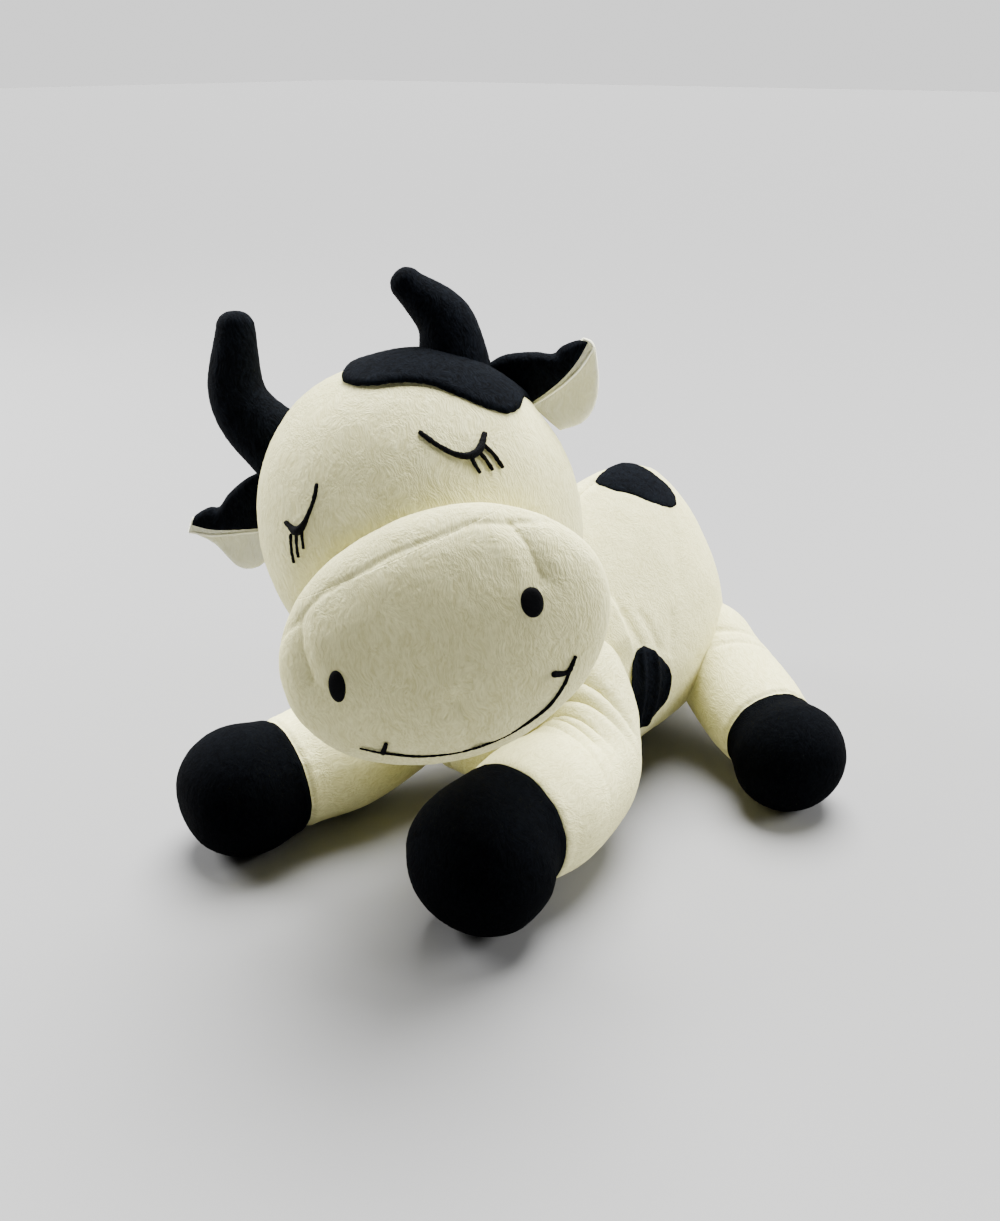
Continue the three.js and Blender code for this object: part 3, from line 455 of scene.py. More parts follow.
head = ball_mesh(7)
set_points(head, get_points(head) * HEAD_HALVES)
points, normals = get_points(head), get_normals(head)
side_seam = near(points[:, 1] - HEAD_SEAM, 1.7 * MM)
back_seam = near(points[:, 0], 1.7 * MM) * step(points[:, 1], HEAD_SEAM, HEAD_SEAM + 3 * MM)
pucker = lumps(points, 5 * MM, 4) * near(points[:, 1] - HEAD_SEAM, 7 * MM)
draw = 1.4 * MM * (side_seam + back_seam) + dent_face(points) - 0.4 * MM * pucker
set_points(head, points - normals * draw[:, None])
raise_pile(head, 0.1 * MM, 23)
head_back = part_at(head, (0, HEAD_SEAM, 0), (0, 1, 0))
head_panels = {
    "face_panel": part_at(head, (0, HEAD_SEAM, 0), (0, -1, 0)),
    "head_back_left": part_at(head_back, (0, 0, 0), (1, 0, 0)),
    "head_back_right": part_at(head_back, (0, 0, 0), (-1, 0, 0)),
}
for name, panel in head_panels.items():
    add_skin(panel, name, cream_head, "head", place=head_place)
head.free()
head_back.free()
stuffing = ball_mesh(6)
set_points(stuffing, get_points(stuffing) * (HEAD_HALVES - SKIN - FIT))
add_filling(stuffing, "head_filling", "head", head_place)

neck_ball = ball_mesh(6)
neck_in_head = head_place.inverted() @ NECK_PIVOT
set_points(neck_ball, get_points(neck_ball) * NECK_BALL + np.array(neck_in_head))
raise_pile(neck_ball, 0.1 * MM, 29)
neck = part_at(neck_ball, neck_in_head * 1.5, -neck_in_head)
neck_ball.free()
add_skin(neck, "neck_skin", cream_head, "head", place=head_place)


# Muzzle. A wide oval cushion of the same plush, sewn to the front of the face and stuffed. A seam runs
# across it under its top band, and three short darts shape the front: one at each side, one in the chin.
MUZZLE_HALVES = np.array([65.4, 21.1, 47.5]) * MM
MUZZLE_CENTRE = np.array([0, -51.6, -36]) * MM
PANEL_SEAM = 36 * MM  # above its middle: where the band and the front are parted
# Lines on the front of the muzzle, across and up from its middle.
MUZZLE_SEAM = [(-64, 20), (-52, 27), (-31, 35.5), (0, 38.5), (31, 36.5), (47, 29.5), (64, 20)]
DARTS = [
    [(43.4, 31), (46.1, 22), (46.3, 9)],
    [(-43.9, 29), (-47.1, 20), (-48.6, 8)],
    [(-0.4, -20), (-2.6, -39)],
]


def on_muzzle(x, z, lift=0.0):
    """A place on the front of the muzzle, measured from its middle, lifted off it."""
    spot = np.array([x, 0, z], dtype=float)
    depth = max(1 - (x / MUZZLE_HALVES[0]) ** 2 - (z / MUZZLE_HALVES[2]) ** 2, 0)
    spot[1] = -MUZZLE_HALVES[1] * math.sqrt(depth)
    normal = spot / MUZZLE_HALVES**2
    return spot + lift * normal / np.linalg.norm(normal) + MUZZLE_CENTRE


muzzle = ball_mesh(7)
set_points(muzzle, get_points(muzzle) * MUZZLE_HALVES)
points, normals = get_points(muzzle), get_normals(muzzle)
seen = points[:, [0, 2]]
draw = 0.55 * MM * near(line_distance(seen, MUZZLE_SEAM), 1.1 * MM)
draw = draw + 0.5 * MM * near(line_distance(seen, MUZZLE_SEAM), 5 * MM)
for dart in DARTS:
    draw = draw + 0.5 * MM * near(line_distance(seen, dart), 0.9 * MM)
    draw = draw + 1.3 * MM * near(line_distance(seen, dart), 4.5 * MM)
draw *= step(-points[:, 1], -2 * MM, 3 * MM)
set_points(muzzle, points - normals * draw[:, None] + MUZZLE_CENTRE)
raise_pile(muzzle, 0.1 * MM, 31)


def cut_out_head(bm, sunk):
    """Takes away what lies inside the head, deeper than this under its skin."""
    inside = [
        vert for vert in bm.verts
        if sum((reach / (half - sunk)) ** 2 for reach, half in zip(vert.co, HEAD_HALVES)) < 1
    ]
    bmesh.ops.delete(bm, geom=inside, context="VERTS")


cut_out_head(muzzle, 4 * MM)
seam_height = MUZZLE_CENTRE[2] + PANEL_SEAM
for name, side in (("muzzle_band", 1), ("muzzle_front", -1)):
    half = part_at(muzzle, (0, 0, seam_height), (0, 0, side))
    add_skin(half, name, cream_head, "head", place=head_place)
muzzle.free()
stuffing = ball_mesh(6)
set_points(stuffing, get_points(stuffing) * (MUZZLE_HALVES - SKIN - FIT) + MUZZLE_CENTRE)
cut_out_head(stuffing, 0)
bmesh.ops.holes_fill(stuffing, edges=stuffing.edges)
add_filling(stuffing, "muzzle_filling", "head", head_place)


# Forehead patch. Black plush over the left brow, sewn on top of the face panel. Its lower edge is cut
# in a wave, and its upper edge is caught in the side seam.
# Its lower edge, in places across and up the face, from the middle of the crown to the left temple.
BROW_EDGE = [
    (5, 68.6), (2.6, 67), (3, 64.7), (7, 61.8), (13.5, 58.5), (24, 54.5),
    (33, 49), (40.5, 41.5), (47, 34), (53, 28), (57.5, 27), (60, 30),
]
SEAM_ENDS = (7, 61)  # how far across the head the upper edge starts and ends


def smooth_line(corners, count):
    """A smooth line through some corners, as evenly many points."""
    corners = np.array(corners, dtype=float)
    ends = np.vstack([2 * corners[0] - corners[1], corners, 2 * corners[-1] - corners[-2]])
    spots = []

    # A cubic joins each two corners, and leaves each of them the way its neighbours lie.
    for place in np.linspace(0, len(corners) - 1 - 1e-9, 24 * len(corners)):
        at, share = int(place), place - int(place)
        a, b, c, d = ends[at:at + 4]
        cubic = 2 * b + (c - a) * share + (2 * a - 5 * b + 4 * c - d) * share**2
        spots.append((cubic + (3 * b - a - 3 * c + d) * share**3) / 2)
    spots = np.array(spots)
    runs = np.concatenate([[0], np.cumsum(np.linalg.norm(np.diff(spots, axis=0), axis=1))])
    wanted = np.linspace(0, runs[-1], count)
    return np.stack([np.interp(wanted, runs, column) for column in spots.T], axis=1)


def sheet_mesh(columns, rows):
    """A flat sheet of faces, one unit by one unit."""
    bm = bmesh.new()
    bmesh.ops.create_grid(bm, x_segments=columns, y_segments=rows, size=0.5)
    bmesh.ops.translate(bm, vec=(0.5, 0.5, 0), verts=bm.verts)
    return bm


black_head = plush("black plush of the head", BLACK_LIGHT, BLACK_SHADE, 0.02, down_face, 0.03)
brow = smooth_line(BROW_EDGE, 200) * MM
patch = sheet_mesh(150, 60)
share, height = get_points(patch)[:, 0], get_points(patch)[:, 1]
low_x, low_z = (np.interp(share, np.linspace(0, 1, 200), column) for column in brow.T)
high_x = (SEAM_ENDS[0] + (SEAM_ENDS[1] - SEAM_ENDS[0]) * share) * MM
high_y = HEAD_SEAM - 0.6 * MM
halves = HEAD_HALVES

# Each column of the sheet runs from the lower edge over the crown to the side seam.
low_y = -halves[1] * np.sqrt(np.clip(1 - (low_x / halves[0]) ** 2 - (low_z / halves[2]) ** 2, 0, 1))
high_z = halves[2] * np.sqrt(1 - (high_y / halves[1]) ** 2 - (high_x / halves[0]) ** 2)
low_turn, high_turn = np.arctan2(low_z, -low_y), np.arctan2(high_z, -high_y)
turn = low_turn + (high_turn - low_turn) * height
side = low_x + (high_x - low_x) * height
reach = np.sqrt(1 - (side / halves[0]) ** 2)
reach = reach / np.hypot(np.cos(turn) / halves[1], np.sin(turn) / halves[2])
spots = np.stack([side, -np.cos(turn) * reach, np.sin(turn) * reach], axis=1)
spots[:, 2] += 0.35 * MM * lumps(spots * (1, 0, 0), 1.1 * MM, 9) * (1 - height) ** 8
normals = spots / halves**2
normals /= np.linalg.norm(normals, axis=1)[:, None]
edge = np.clip(np.minimum.reduce([height * 14, share * 26, (1 - share) * 26]), 0, 1)
rise = 0.1 * MM + 1.1 * MM * np.sqrt(1 - (1 - edge) ** 2) - dent_face(spots)
set_points(patch, spots + normals * rise[:, None])
facing_out(patch, (0, 0, 0))
raise_pile(patch, 0.12 * MM, 37, 0.2)
add_piece(
    patch, "forehead_patch_sewn", black_head, "head", ["forehead_patch"], PATCH, head_place,
)


# Embroidery. The closed eyes with their lashes, the mouth and the nostrils are worked in black satin
# stitch: rows of thread laid side by side across the line, so that it stands up like a cord.
THREAD_STEP = 0.55  # millimetres from one thread to the next
stitch_finish, start, shader = new_finish("black satin stitch", 0.75, 0.0, 0.05)
run = start.node("Attribute", {"attribute_name": "run"}, output=2)
strands = start.node("Math", {"operation": "SINE"}, {0: run * (2 * math.pi / THREAD_STEP)})
place = start.node("TexCoord", output=3)
frizz = start.node("TexNoise", {}, {"Vector": place, "Scale": 1500, "Detail": 2})
wire(start.tree, frizz.blend((0.0003, 0.0003, 0.0005, 1), (0.004, 0.0043, 0.0055, 1)), shader, "Base Color")
bump = start.node("Bump", {}, {"Strength": 0.5, "Distance": 0.0003, "Height": strands * 0.25 + frizz})
wire(start.tree, bump, shader, "Normal")


def limb_mesh(path, outline, sides, rings, upright=(0, 0, 1), flat=1.0, swell=None):
    """A closed tube along a path. Its outline is a line of distances along the path and radii.

    Each vertex keeps its distance along the path in millimetres as its run, for the stitches.
    """
    bm = bmesh.new()
    bmesh.ops.create_uvsphere(bm, u_segments=sides, v_segments=rings, radius=1)
    ball = get_points(bm)
    at = np.rint((1 - np.arccos(np.clip(ball[:, 2], -1, 1)) / math.pi) * rings).astype(int)
    turn = np.arctan2(ball[:, 1], ball[:, 0])
    distance, radius = smooth_line(outline, rings + 1)[at].T
    radius = np.where((at == 0) | (at == rings), 0, np.maximum(radius, 0))
    steps = np.linalg.norm(np.diff(path, axis=0), axis=1)
    runs = np.concatenate([[0], np.cumsum(steps)])
    ways = np.gradient(path, axis=0)
    ways /= np.linalg.norm(ways, axis=1)[:, None]
    centre = np.stack([np.interp(distance, runs, column) for column in path.T], axis=1)
    way = np.stack([np.interp(distance, runs, column) for column in ways.T], axis=1)
    way /= np.linalg.norm(way, axis=1)[:, None]
    centre += (distance - np.clip(distance, 0, runs[-1]))[:, None] * way
    across = np.cross(np.array(upright), way)
    across /= np.linalg.norm(across, axis=1)[:, None]
    upwards = np.cross(way, across)
    if swell is not None:
        radius = radius + np.where(radius > 0, swell(distance, turn), 0)
    spots = centre + (radius * np.cos(turn))[:, None] * across
    set_points(bm, spots + (radius * flat * np.sin(turn))[:, None] * upwards)
    layer = bm.verts.layers.float.new("run")
    for vert, reach in zip(bm.verts, distance):
        vert[layer] = reach / MM
    bmesh.ops.recalc_face_normals(bm, faces=bm.faces)
    return bm


def thread_mesh(line, half_widths):
    """One line of satin stitch. Its half widths are given at even steps from end to end."""
    path = smooth_line(line, 60)
    length = float(np.sum(np.linalg.norm(np.diff(path, axis=0), axis=1)))
    shares = np.linspace(0.07, 0.93, len(half_widths))
    stops = [(length * share, half) for share, half in zip(shares, half_widths)]
    start, end = half_widths[0], half_widths[-1]
    blunt_start = [(-start * 0.5, 0), (-start * 0.2, start * 0.8)]
    blunt_end = [(length + end * 0.2, end * 0.8), (length + end * 0.5, 0)]
    outline = blunt_start + stops + blunt_end

    def uneven(distance, turn):
        spots = np.stack([distance, 0.9 * MM * np.sin(turn), 0 * turn], axis=1)
        return 0.18 * MM * lumps(spots, THREAD_STEP * MM, len(line))

    return limb_mesh(path, outline, 12, max(int(length / (0.35 * MM)), 16), (0, -1, 0.001), 0.7, uneven)


def joined(meshes):
    """Several meshes in one."""
    whole = bmesh.new()
    for bm in meshes:
        part = bpy.data.meshes.new("part")
        bm.to_mesh(part)
        whole.from_mesh(part)
        bpy.data.meshes.remove(part)
        bm.free()
    return whole


def add_stitching(name, lines, on_skin):
    """Adds lines of satin stitch on a skin. Each is a line of places and its half widths."""
    threads = [
        thread_mesh([on_skin(x * MM, z * MM, 0.5 * MM) for x, z in line], [half * MM for half in halves])
        for line, halves in lines
    ]
    whole = joined(threads)
    add_piece(whole, name + "_sewn", stitch_finish, "head", [name], place=head_place)


# Each line's places across and up the face, and its half widths, all in millimetres. The first line
# of an eye is its lid, and the others are lashes.
EYES = {
    "left_eye": [
        (
            [(24, 35.6), (28, 28.9), (32.4, 23.2), (36.8, 20.2), (41, 20.6), (44.6, 24.7)],
            (1.0, 1.0, 1.05, 1.3, 1.6, 1.2),
        ),
        ([(37.3, 19.6), (37.4, 16.5), (37.9, 13)], (0.8, 0.8, 0.75)),
        ([(40.2, 20.4), (41.4, 16.5), (42.2, 11.8)], (0.8, 0.8, 0.75)),
        ([(42.6, 21.6), (44.6, 16.5), (45.7, 10.7)], (0.8, 0.8, 0.75)),
    ],
    "right_eye": [
        (
            [(-19.2, 34.5), (-22, 30.6), (-25.4, 27.2), (-31, 22.9), (-35.2, 21.9), (-38.4, 26.2)],
            (0.8, 0.85, 0.9, 1.3, 1.9, 1.1),
        ),
        ([(-32.4, 21.7), (-33.9, 18.3), (-35.2, 14.9)], (0.7, 0.7, 0.65)),
        ([(-35.5, 21), (-37.6, 16.8), (-39.1, 12.6)], (0.7, 0.7, 0.65)),
        ([(-38.2, 21.4), (-40.6, 16.3), (-42.3, 11.2)], (0.7, 0.7, 0.65)),
    ],
}
for name, lines in EYES.items():
    add_stitching(name, lines, on_head)

MOUTH = [
    (
        [
            (-44.4, -24), (-37, -29), (-24, -36.2), (-8, -40.8),
            (8, -41.4), (25, -38), (35, -32.3), (40, -27.6),
        ],
        (0.5, 0.55, 0.5, 0.5, 0.5, 0.6, 0.7, 0.75),
    ),
    ([(-37.6, -29), (-33.6, -25.2)], (1.0, 0.8)),
    ([(34.4, -25.4), (39.4, -27.4), (44.4, -23.2)], (1.3, 1.05, 0.85, 0.65)),
]
add_stitching("mouth_line", MOUTH, on_muzzle)

NOSTRIL_X, NOSTRIL_Z = 39.5 * MM, 2.7 * MM
# Each nostril's side, half width, half height, and how far its top leans outwards.
NOSTRILS = {
    "left_nostril": (1, 4.1 * MM, 5.5 * MM, 0.6 * MM),
    "right_nostril": (-1, 3.6 * MM, 6 * MM, -1.8 * MM),
}
for name, (side, half_width, half_height, lean) in NOSTRILS.items():
    nostril = disc_mesh(10, 48)
    flat = get_points(nostril)
    radius = np.hypot(flat[:, 0], flat[:, 1])
    lift = 0.15 * MM + 1.1 * MM * np.sqrt(np.clip(1 - radius**4, 0, 1))
    spots = [
        on_muzzle(side * (NOSTRIL_X + x * half_width + z * lean), NOSTRIL_Z + z * half_height, up)
        for (x, z, _), up in zip(flat, lift)
    ]
    set_points(nostril, spots)
    layer = nostril.verts.layers.float.new("run")
    for vert, (x, z, _) in zip(nostril.verts, flat):
        vert[layer] = z * half_height / MM
    facing_out(nostril, MUZZLE_CENTRE + np.array([0, 30, 0]) * MM)
    add_piece(nostril, name + "_sewn", stitch_finish, "head", [name], 0.8 * MM, head_place)


# Horns. Each is a bent tube of black plush, stuffed firm, with its root sewn into the side seam of the
# head. The left one curls in over the crown, and the right one stands up longer.
HORN_ROOT = np.array([38, 8, 45]) * MM
HORN_BALL = 15 * MM
HORN_DOME = 8 * MM
HORN_STEPS = 120
LEFT_STOPS = [(0, 15), (0.2, 14.2), (0.5, 11.8), (0.75, 9.2), (0.96, 6.8)]
RIGHT_STOPS = [(0, 15), (0.2, 14.2), (0.5, 12.2), (0.75, 10.2), (0.96, 8.1)]
HORNS = {
    "left_horn": (1, [(0, 0, 0), (5.5, 0, 22.5), (-1.5, -1, 42)], LEFT_STOPS),
    "right_horn": (-1, [(0, 0, 0), (8.5, 0, 30), (-4, 1, 58)], RIGHT_STOPS),
}


def limb_outline(ball, stops, length, dome, shrink=0.0):
    """The outline of a stuffed limb: a ball round its pivot, its stops, and a round end.

    Each stop is a share of the length and a radius in millimetres.
    """
    back = ball - shrink
    outline = [(-back * math.cos(turn), back * math.sin(turn)) for turn in (0, 0.35, 0.7, 1.05)]
    outline += [(share * length, radius * MM - shrink) for share, radius in stops]
    reach, girth = outline[-1]
    for turn in (0.5, 0.95, 1.3, math.pi / 2):
        outline.append((reach + (dome - shrink) * math.sin(turn), girth * math.cos(turn) ** 0.8))
    return outline


for name, (side, corners, stops) in HORNS.items():
    corners = [HORN_ROOT + np.array(corner) * MM for corner in corners]
    path = smooth_line(corners, HORN_STEPS) * (side, 1, 1)
    length = float(np.sum(np.linalg.norm(np.diff(path, axis=0), axis=1)))
    outline = limb_outline(HORN_BALL, stops, length, HORN_DOME)
    horn = limb_mesh(path, outline, 72, 90, (0, 1, 0))
    raise_pile(horn, 0.12 * MM, 41 + side, 0.6)
    root_way = path[HORN_STEPS // 10] - path[0]
    skin = part_at(horn, Vector(path[0] - root_way * 0.6), Vector(root_way))
    horn.free()
    add_skin(skin, name + "_skin", black_head, name, place=head_place)
    core_outline = limb_outline(HORN_BALL, stops, length, HORN_DOME, SKIN + FIT)
    add_filling(limb_mesh(path, core_outline, 32, 40, (0, 1, 0)), name + "_filling", name, head_place)


# Ears. Each is a black back and a cream lining, sewn round the edge and turned. The root is pinched
# flat and sewn into the head, and the top edge is folded over forwards, so that a black lip shows.
EAR_LEAN = math.radians(23.6)
EAR_LENGTH = 34 * MM
EAR_OUT = np.array([math.cos(EAR_LEAN), 0, math.sin(EAR_LEAN)])
EAR_UP = np.array([-math.sin(EAR_LEAN), 0, math.cos(EAR_LEAN)])
# Edges and folds at even steps from root to tip, for the left ear (1) and the right one (-1).
EAR_LOWER = {1: [-20.5, -25.2, -24.3, -18.9, -9.5], -1: [-17, -23.2, -22.8, -13, -6.5]}
EAR_FOLD = {1: [18, 14.8, 7.6, 1.2, -3.4], -1: [18, 14.8, 8.8, 3.6, -0.8]}
EAR_LIP = {1: [-4, -6, -7.2, -7, -5.2], -1: [-5, -5, -5.2, -4.9, -3]}
EAR_ROLL = [1.9, 3.6, 4, 3, 1.5]
EAR_LAYER = 1.2 * MM
EAR_DEPTH, EAR_HEIGHT = 0.2, 0.4035  # shares of the head's half depth and half height
root_side = HEAD_HALVES[0] * math.sqrt(1 - EAR_HEIGHT**2 - EAR_DEPTH**2)
ear_middle = np.array([root_side, 10 * MM, 28 * MM])


def ear_mesh(side, offset, lining=False):
    """One layer of an ear, this far outside the middle of its cloth. The lining shows beyond the lip."""
    bm = sheet_mesh(56, 90)
    flat = get_points(bm)

    def along(values):
        line = smooth_line(list(enumerate(values)), 100)
        return np.interp(flat[:, 0] * 4, line[:, 0], line[:, 1]) * MM

    roll = along(EAR_ROLL)
    top = along(EAR_FOLD[side]) - roll
    beyond = (1.6 + 2 * flat[:, 0]) * MM if lining else 0
    down, over = top - along(EAR_LOWER[side]), math.pi * roll
    lip = np.maximum(top - along(EAR_LIP[side]), 0.2 * MM) + beyond
    run = flat[:, 1] * (down + over + lip)
    turn = np.clip((run - down) / roll, 0, math.pi)
    lip_rim = (1 - flat[:, 1]) * (60 if lining else 20)
    rim = np.minimum.reduce([flat[:, 1] * 14, lip_rim, (1 - flat[:, 0]) * 9, np.ones(len(flat))])
    swell = roll + offset * np.sqrt(np.clip(1 - (1 - rim) ** 2, 0.02, 1))
    folded = top + swell * np.sin(turn) - np.maximum(run - down - over, 0)
    up = np.where(run < down, along(EAR_LOWER[side]) + run, folded)
    back = swell * np.cos(turn)
    longer = 1.025 if lining else 1
    out = flat[:, 0] * EAR_LENGTH * longer * (1 - 0.04 * step(np.abs(up + 6 * MM), 0, 5 * MM))
    by_fold = step(run, 0.4 * down, down) * (1 - step(run, down + over, down + over + lip))
    wave = -2.8 * MM * near(out - 21 * MM, 3.2 * MM) * by_fold
    spots = ear_middle + out[:, None] * EAR_OUT + (up + wave)[:, None] * EAR_UP
    spots[:, 1] += back - 1.2 * MM * flat[:, 0] ** 2
    spots[:, 0] *= side
    set_points(bm, spots)
    bmesh.ops.recalc_face_normals(bm, faces=bm.faces)
    bm.faces.ensure_lookup_table()
    outer = max(bm.faces, key=lambda face: face.calc_center_median().y)
    if (outer.normal.y > 0) != (offset > 0):
        bmesh.ops.reverse_faces(bm, faces=bm.faces)
    raise_pile(bm, 0.1 * MM, 47 + side, 0)
    return bm


# The lining's cream is whiter and less yellow than the body's. This is partly its own whiter tone and
# partly painted light: it is brightened because the lining faces away from the lamps.
LINING_LIGHT = (0.95, 0.94, 0.74, 1)
LINING_SHADE = (0.82, 0.81, 0.58, 1)
whiter_lining_with_painted_light = plush("whiter cream plush of the ear linings, with painted light", LINING_LIGHT, LINING_SHADE, 0.3)
EAR_LAYERS = (("back", 1, black_head, "black_plush"), ("lining", -1, whiter_lining_with_painted_light, "cream_plush"))
for name, side in (("left_ear", 1), ("right_ear", -1)):
    for layer, facing, finish, slot in EAR_LAYERS:
        node = f"{name}_{layer}"
        cloth = ear_mesh(side, facing * (0.2 * MM + EAR_LAYER), layer == "lining")
        add_piece(cloth, node + "_sewn", finish, name, [node], EAR_LAYER, head_place)


# Legs. Four stuffed tubes of cream plush with black hooves sewn on the ends, spread over the floor.
# The root of each is sewn into the torso, and the hoof lies flat on its underside.
LEG_BALL = 26 * MM
LEG_DOME = 13 * MM
LEG_STEPS = 200
ROOT_CUT = 20 * MM  # how far behind the hip the skin ends, inside the torso
ANKLE = 0.93
TOE_SINK = 3.2
# Radii of the calf and the hoof and the hoof's length. Each leg has its hip, the bends and the toe
# from there, and these sizes.
FRONT_SIZES = (30, 31.5, 39)
HIND_SIZES = (26.5, 28.3, 34)
LEGS = {
    "front_left": ((40, -62, 50), [(16.5, -26.5, 6), (17, -85.5, 7)], (20.5, -114.5), FRONT_SIZES),
    "front_right": ((-40, -62, 50), [(-7.5, -50, 4)], (-32.5, -141.5), FRONT_SIZES),
    "hind_left": ((44, 56, 44), [(41, -25, 4.5)], (87, -58), HIND_SIZES),
    "hind_right": ((-44, 56, 44), [(-41, -25, 4.5)], (-87, -58), HIND_SIZES),
}
# Folds: their place along the leg, their depth, and the turn round the leg of their middle.
FOLD_WIDTH = 2.1 * MM
FOLD_LEAN = 6.5 * MM  # along the leg, for each radian of turn from the top
LEG_TOP = 1.57  # the turn, in radians, where the top of the leg is
SHOULDER_STRETCH, SHOULDER_LEAN = 1.15, 0.42
FOLDS = {
    "front_left": [(11, 2.0, 1.3), (18, 2.2, 1.7), (30, 2.4, 2.1), (38, 1.8, 1.9), (47, 0.9, 1.2)],
    "front_right": [(24, 1.1, 1.2), (35, 1.3, 1.4), (46, 0.9, 1.2)],
    "hind_left": [(15, 1.5, 1.7), (26, 1.0, 1.4)],
    "hind_right": [(15, 1.5, 1.4), (26, 1.0, 1.7)],
}
HOOF_LIGHT = (0.002, 0.0026, 0.0037, 1)
black_hoof = plush("black plush of the hooves", HOOF_LIGHT, BLACK_SHADE, 0.008, specular=0.02)


def on_floor(bm):
    """Presses what would lie under the floor flat on it."""
    points = get_points(bm)
    points[:, 2] = np.maximum(points[:, 2], 0)
    set_points(bm, points)


def raise_shoulder(bm, hip):
    """Stretches the root of a front leg up along the side of the torso, to the neck."""
    points = get_points(bm)
    reach = np.hypot(points[:, 0] - hip[0], points[:, 1] - hip[1])
    share = SHOULDER_STRETCH * (1 - step(reach, 22 * MM, 46 * MM))
    rise = np.maximum(points[:, 2] - 54 * MM, 0) * share
    points[:, 2] += rise
    points[:, 0] -= math.copysign(SHOULDER_LEAN, hip[0]) * rise
    set_points(bm, points)


for number, (name, (hip, bends, toe, (calf, hoof, hoof_length))) in enumerate(LEGS.items()):
    hip = np.array(hip)
    knees = [(hip[0] + x, hip[1] + y, calf + lift) for x, y, lift in bends]
    toe = (hip[0] + toe[0], hip[1] + toe[1], hoof - TOE_SINK)
    path = smooth_line([hip, *knees, toe], LEG_STEPS) * MM
    length = float(np.sum(np.linalg.norm(np.diff(path, axis=0), axis=1)))
    toe_cap = LEG_DOME + 0.12 * length
    stops = [(0, 26), (0.14, 25.5), (0.3, 26.5), (0.52, calf), (0.72, calf * ANKLE), (0.88, hoof)]
    seam = length - hoof_length * MM
    seam_step = int(LEG_STEPS * seam / length)
    at_seam = Vector(path[seam_step])
    way = Vector(path[seam_step + 1]) - at_seam
    way.normalize()

    def swell(distance, turn):
        ring = np.stack([distance, LEG_BALL * np.cos(turn), LEG_BALL * np.sin(turn)], axis=1)
        rise = -1.5 * MM * near(distance - seam, 1.6 * MM)
        rise += 0.5 * MM * lumps(ring, np.array([30, 5, 5]) * MM, number) * near(distance - seam, 7 * MM)
        for place, depth, middle in FOLDS[name]:
            leaning = place * MM - FOLD_LEAN * (turn - LEG_TOP)
            rise -= depth * MM * near(distance - leaning, FOLD_WIDTH) * near(turn - middle, 0.85)
        return rise

    leg = limb_mesh(path, limb_outline(LEG_BALL, stops, length, toe_cap), 150, 220, swell=swell)
    raise_pile(leg, 0.1 * MM, 53 + number, 0.25)
    if name.startswith("front"):
        raise_shoulder(leg, hip * MM)
    on_floor(leg)
    cream_leg = plush(f"cream plush of the {name} leg", CREAM_LIGHT, CREAM_SHADE, 0.2, tuple(way))
    hoof_skin = part_at(leg, at_seam, way)
    leg_skin = part_at(leg, at_seam, -way)
    root_way = Vector(path[15] - path[0]).normalized()
    open_root = part_at(leg_skin, Vector(path[0]) - ROOT_CUT * root_way, root_way)
    leg_skin.free()
    leg.free()
    body = name + "_leg"
    add_skin(open_root, body + "_skin", cream_leg, body)
    add_skin(hoof_skin, name + "_hoof", black_hoof, body)
    core = limb_mesh(path, limb_outline(LEG_BALL, stops, length, toe_cap, SKIN + FIT), 48, 60)
    on_floor(core)
    add_filling(core, body + "_filling", body)


# Tail. A narrow strip of cream plush, rolled into a tube and sewn into the rump. A stuffed tuft of
# black plush is sewn round its end.
TAIL_ROOT = np.array([0, 90, 84])
TAIL_BALL = 9 * MM
TUFT_DOME = 8 * MM
TUFT_LENGTH = 22 * MM
TAIL_SKIN = 1.5 * MM
TAIL_STEPS = 120
tail_corners = [TAIL_ROOT, TAIL_ROOT + (0, 19, -22), TAIL_ROOT + (0, 28, -50)]
tail_path = smooth_line(tail_corners, TAIL_STEPS) * MM
tail_length = float(np.sum(np.linalg.norm(np.diff(tail_path, axis=0), axis=1)))
tail_stops = [(0, 9), (0.3, 6), (0.6, 5), (0.75, 9), (0.9, 9.7), (1, 8)]
tail_outline = limb_outline(TAIL_BALL, tail_stops, tail_length, TUFT_DOME)
tail = limb_mesh(tail_path, tail_outline, 48, 80, (0, 1, 0))
raise_pile(tail, 0.1 * MM, 61, 0.3)
at_tuft = int(TAIL_STEPS * (tail_length - TUFT_LENGTH) / tail_length)
place = Vector(tail_path[at_tuft])
way = Vector(tail_path[at_tuft + 1]) - place
roll, tuft = part_at(tail, place, -way), part_at(tail, place, way)
tail.free()
add_skin(roll, "tail", cream_torso, "tail_body", TAIL_SKIN, making="rolled")
add_skin(tuft, "tail_tuft", black_torso, "tail_body", TAIL_SKIN)


# Studio. A plain floor between walls that are bright behind the toy and dark towards the camera, with
# a wide soft light overhead and one at each side. The camera looks from the photograph's angle.
bpy.ops.mesh.primitive_plane_add(size=24)
floor = bpy.context.object
floor.name = "studio_floor"
floor_finish, _, shader = new_finish("pale floor", 0.8, 0.0)
shader.inputs["Base Color"].default_value = (0.24, 0.24, 0.24, 1)
floor.data.materials.append(floor_finish)

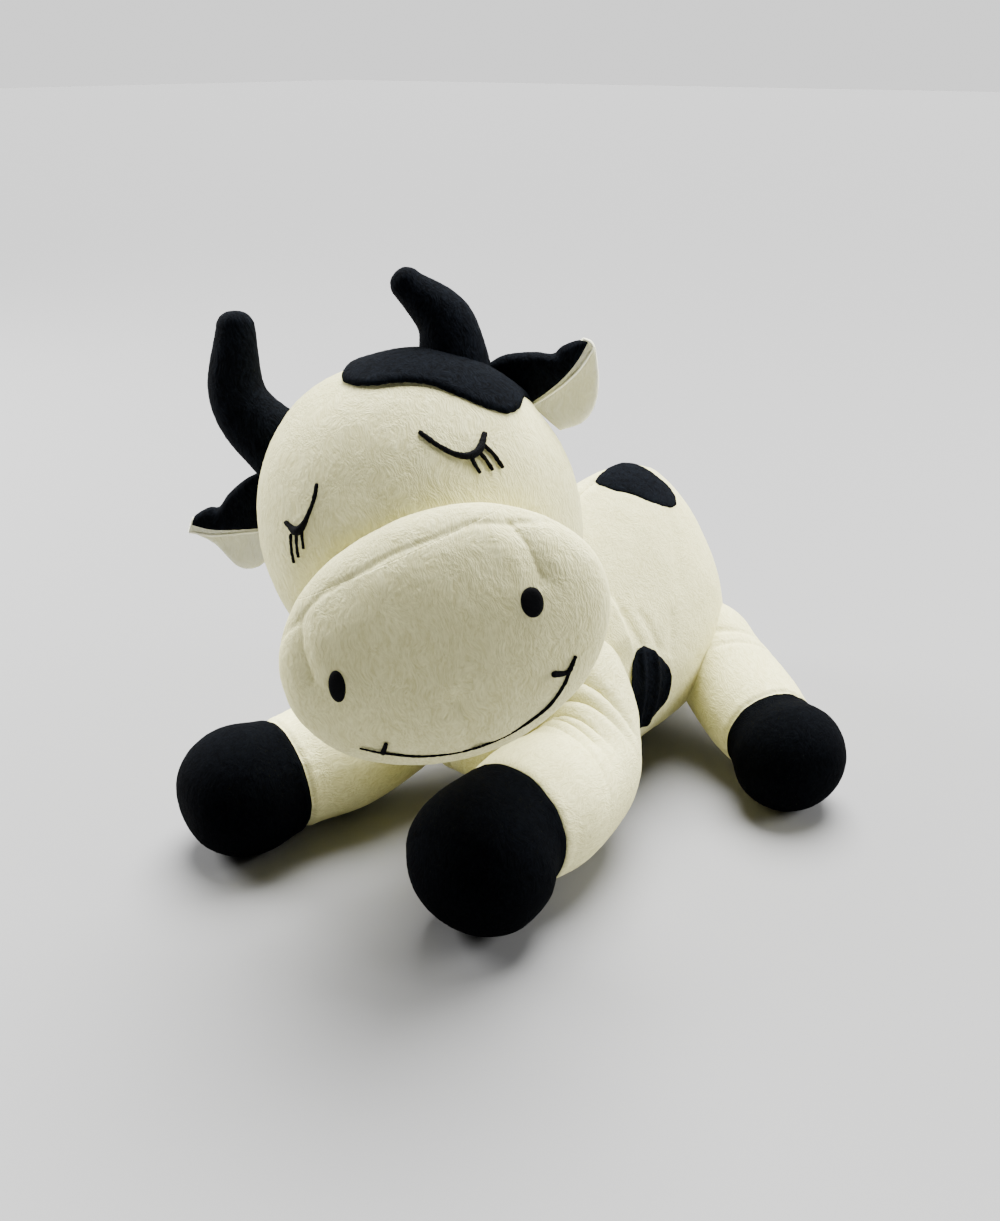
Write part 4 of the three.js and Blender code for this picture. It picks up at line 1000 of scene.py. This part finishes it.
AZIMUTH, ELEVATION = math.radians(38), math.radians(25)
towards_camera = (0.558, -0.714, 0.423)  # from the toy, at those angles
world = bpy.data.worlds.new("studio walls")
bpy.context.scene.world = world
world.use_nodes = True
background = world.node_tree.nodes["Background"]
background.inputs["Color"].default_value = (1, 1, 1, 1)
direction = Value(world.node_tree).node("TexCoord")
facing = direction.node(
    "VectorMath", {"operation": "DOT_PRODUCT"}, {0: direction, 1: towards_camera}, output=1,
)
wall = facing.node(
    "MapRange", {"interpolation_type": "SMOOTHSTEP"}, {"Value": facing, "From Min": -0.4, "From Max": 0.4},
)
BRIGHT_WALL, DARK_WALL = 1.25, 0.02
strength = BRIGHT_WALL - wall * (BRIGHT_WALL - DARK_WALL)
world.node_tree.links.new(strength.socket, background.inputs["Strength"])


def turned_to(spot, target=(0, 0, 0)):
    """The turn of a lamp at a spot that shines on a target."""
    return (Vector(spot) - Vector(target)).to_track_quat("Z", "Y")


def add_softbox(name, spot, size, energy):
    """A round soft light at a spot, turned to the toy."""
    light = bpy.data.lights.new(name, "AREA")
    light.shape = "DISK"
    light.size = size
    light.energy = energy
    lamp = bpy.data.objects.new(name, light)
    lamp.location = spot
    lamp.rotation_mode = "QUATERNION"
    lamp.rotation_quaternion = turned_to(spot, (0, -0.05, 0.1))
    bpy.context.scene.collection.objects.link(lamp)


ceiling = bpy.data.lights.new("ceiling light", "SUN")
ceiling.energy = 17
ceiling.angle = 0.8
lamp = bpy.data.objects.new("ceiling light", ceiling)
lamp.rotation_mode = "QUATERNION"
lamp.rotation_quaternion = turned_to((-0.2, 0.45, 1))
bpy.context.scene.collection.objects.link(lamp)
add_softbox("left light", (-1.3, -0.4, 0.7), 0.7, 34)
add_softbox("right light", (1.1, 0.8, 0.6), 0.7, 26)

FOCUS, SENSOR, PHOTO_HEIGHT = 1200, 36, 1221  # pixels, millimetres, pixels
CAMERA_SPOT = (0.3249, -0.4919, 0.348)
camera_data = bpy.data.cameras.new("camera")
camera_data.lens = FOCUS * SENSOR / PHOTO_HEIGHT
camera = bpy.data.objects.new("camera", camera_data)
camera.location = CAMERA_SPOT
camera.rotation_euler = (math.pi / 2 - ELEVATION, 0, AZIMUTH)
bpy.context.scene.collection.objects.link(camera)
bpy.context.scene.camera = camera
